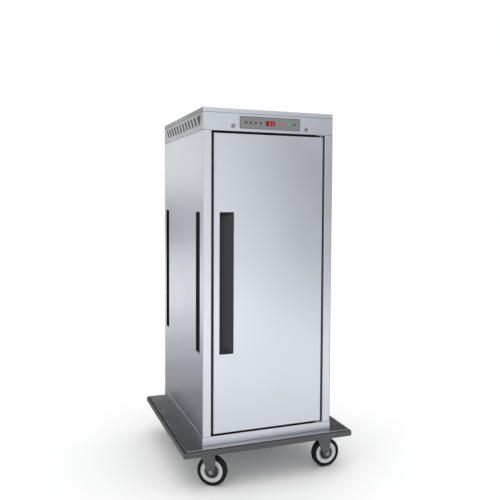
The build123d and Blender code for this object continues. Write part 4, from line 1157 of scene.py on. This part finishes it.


# Seams: thin dark beads under the lid's lip, under the top box and at the stiles' feet, painted shade standing in
# for the shadow in each seam.
bead = {
    "tall": 0.0016,
    "rise": 0.0008,
    "skin": 0.3440,
    "back": 0.4320,
    "rows": [
        # lower edge, where its front runs start, front plane, whether it goes all round
        (1.8234, 0, -0.4160, True), (1.7380, 0.3050, -0.4160, True), (0.2482, 0.3050, -0.4166, False),
    ],
}


def makeBead(across, along, bottom):  # a bar between two places in X and two in Y
    low = Vector((min(across), along[0], bottom))
    high = Vector((max(across), along[1], bottom + bead["tall"]))
    deselectAll()
    bpy.ops.mesh.primitive_cube_add(size=1, location=(low + high) / 2)
    bar = bpy.context.object
    bar.scale = high - low
    bpy.ops.object.transform_apply(location=True, rotation=False, scale=True)
    return softenEdges(bar, bead["tall"] / 5)


def makeBeads():
    skin, back, rise = bead["skin"], bead["back"], bead["rise"]
    parts = []
    for bottom, inner, front, allRound in bead["rows"]:
        for side in (-1, 1):
            outer = side * (skin + rise)
            runs = [((side * inner, outer), (front - rise, front + rise))]
            if allRound:
                runs.append(((side * (skin - rise), outer), (front - rise, back + rise)))
                runs.append(((0, outer), (back - rise, back + rise)))
            parts += [makeBead(across, along, bottom) for across, along in runs]
    # the beads are painted shade
    addPiece(joinUp(parts), "seam_shade_beads", "sealRubber", "cabinet")
    print("beads ready,", len(parts))


makeBeads()


# Power inlet: three bright blades in the black shroud.
inlet = {
    "places": [(-0.2070, 1.7910), (-0.2000, 1.7940), (-0.1930, 1.7910)],
    "blade": (0.0021, 0.0042),
    "from": 0.4090,
    "to": 0.4282,
    "tip": 0.0008,
    "taper": (0.5, 1, 0.75),
    "edge": 0.0002,
}


def makeInletBlades():
    wide, tall = inlet["blade"]
    length = inlet["to"] - inlet["from"]
    for number, (x, z) in enumerate(inlet["places"], 1):
        deselectAll()
        bpy.ops.mesh.primitive_cube_add(size=1, location=(x, inlet["from"] + length / 2, z))
        blade = bpy.context.object
        blade.scale = (wide, length, tall)
        bpy.ops.object.transform_apply(location=True, rotation=False, scale=True)
        pickEnd(blade, 1)
        bpy.ops.mesh.extrude_region_move(TRANSFORM_OT_translate={"value": (0, inlet["tip"], 0)})
        middle = (x, inlet["to"] + inlet["tip"], z)
        bpy.ops.transform.resize(value=inlet["taper"], center_override=middle)
        bpy.ops.object.mode_set(mode="OBJECT")
        softenEdges(blade, inlet["edge"])
        addPiece(blade, f"inlet_blade_{number}", "brightBolt", "cabinet")
    print("inlet ready")


makeInletBlades()


# Pan-head screws that hold the rear panels.
screws = {
    "section": [  # (radius, height), with a round socket in the head
        (0, 0.0009), (0.0011, 0.0009), (0.0013, 0.0021), (0.0024, 0.0019), (0.0033, 0.0011),
        (0.0036, 0), (0.0020, 0), (0.0020, -0.0030), (0, -0.0030),
    ],
    "sides": 0.3330,
    "rows": [0.290, 0.570, 0.850, 1.130, 1.410, 1.690],
    "top": [(-0.330, 1.772), (-0.110, 1.772), (0.110, 1.772), (0.330, 1.772)],
}


def makeScrews():
    low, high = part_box("rear_panel")
    places = [(side * screws["sides"], z) for z in screws["rows"] for side in (-1, 1)] + screws["top"]
    screw = softenEdges(spinShape(screws["section"], 32, closed=False), 0)
    parts = [setDown(copyOf(screw), (x, high.y, z), (0, 1, 0)) for x, z in places]
    bpy.data.objects.remove(screw)
    addPiece(joinUp(parts), "rear_screws", "brightBolt", "cabinet")
    print("screws ready,", len(places))


makeScrews()
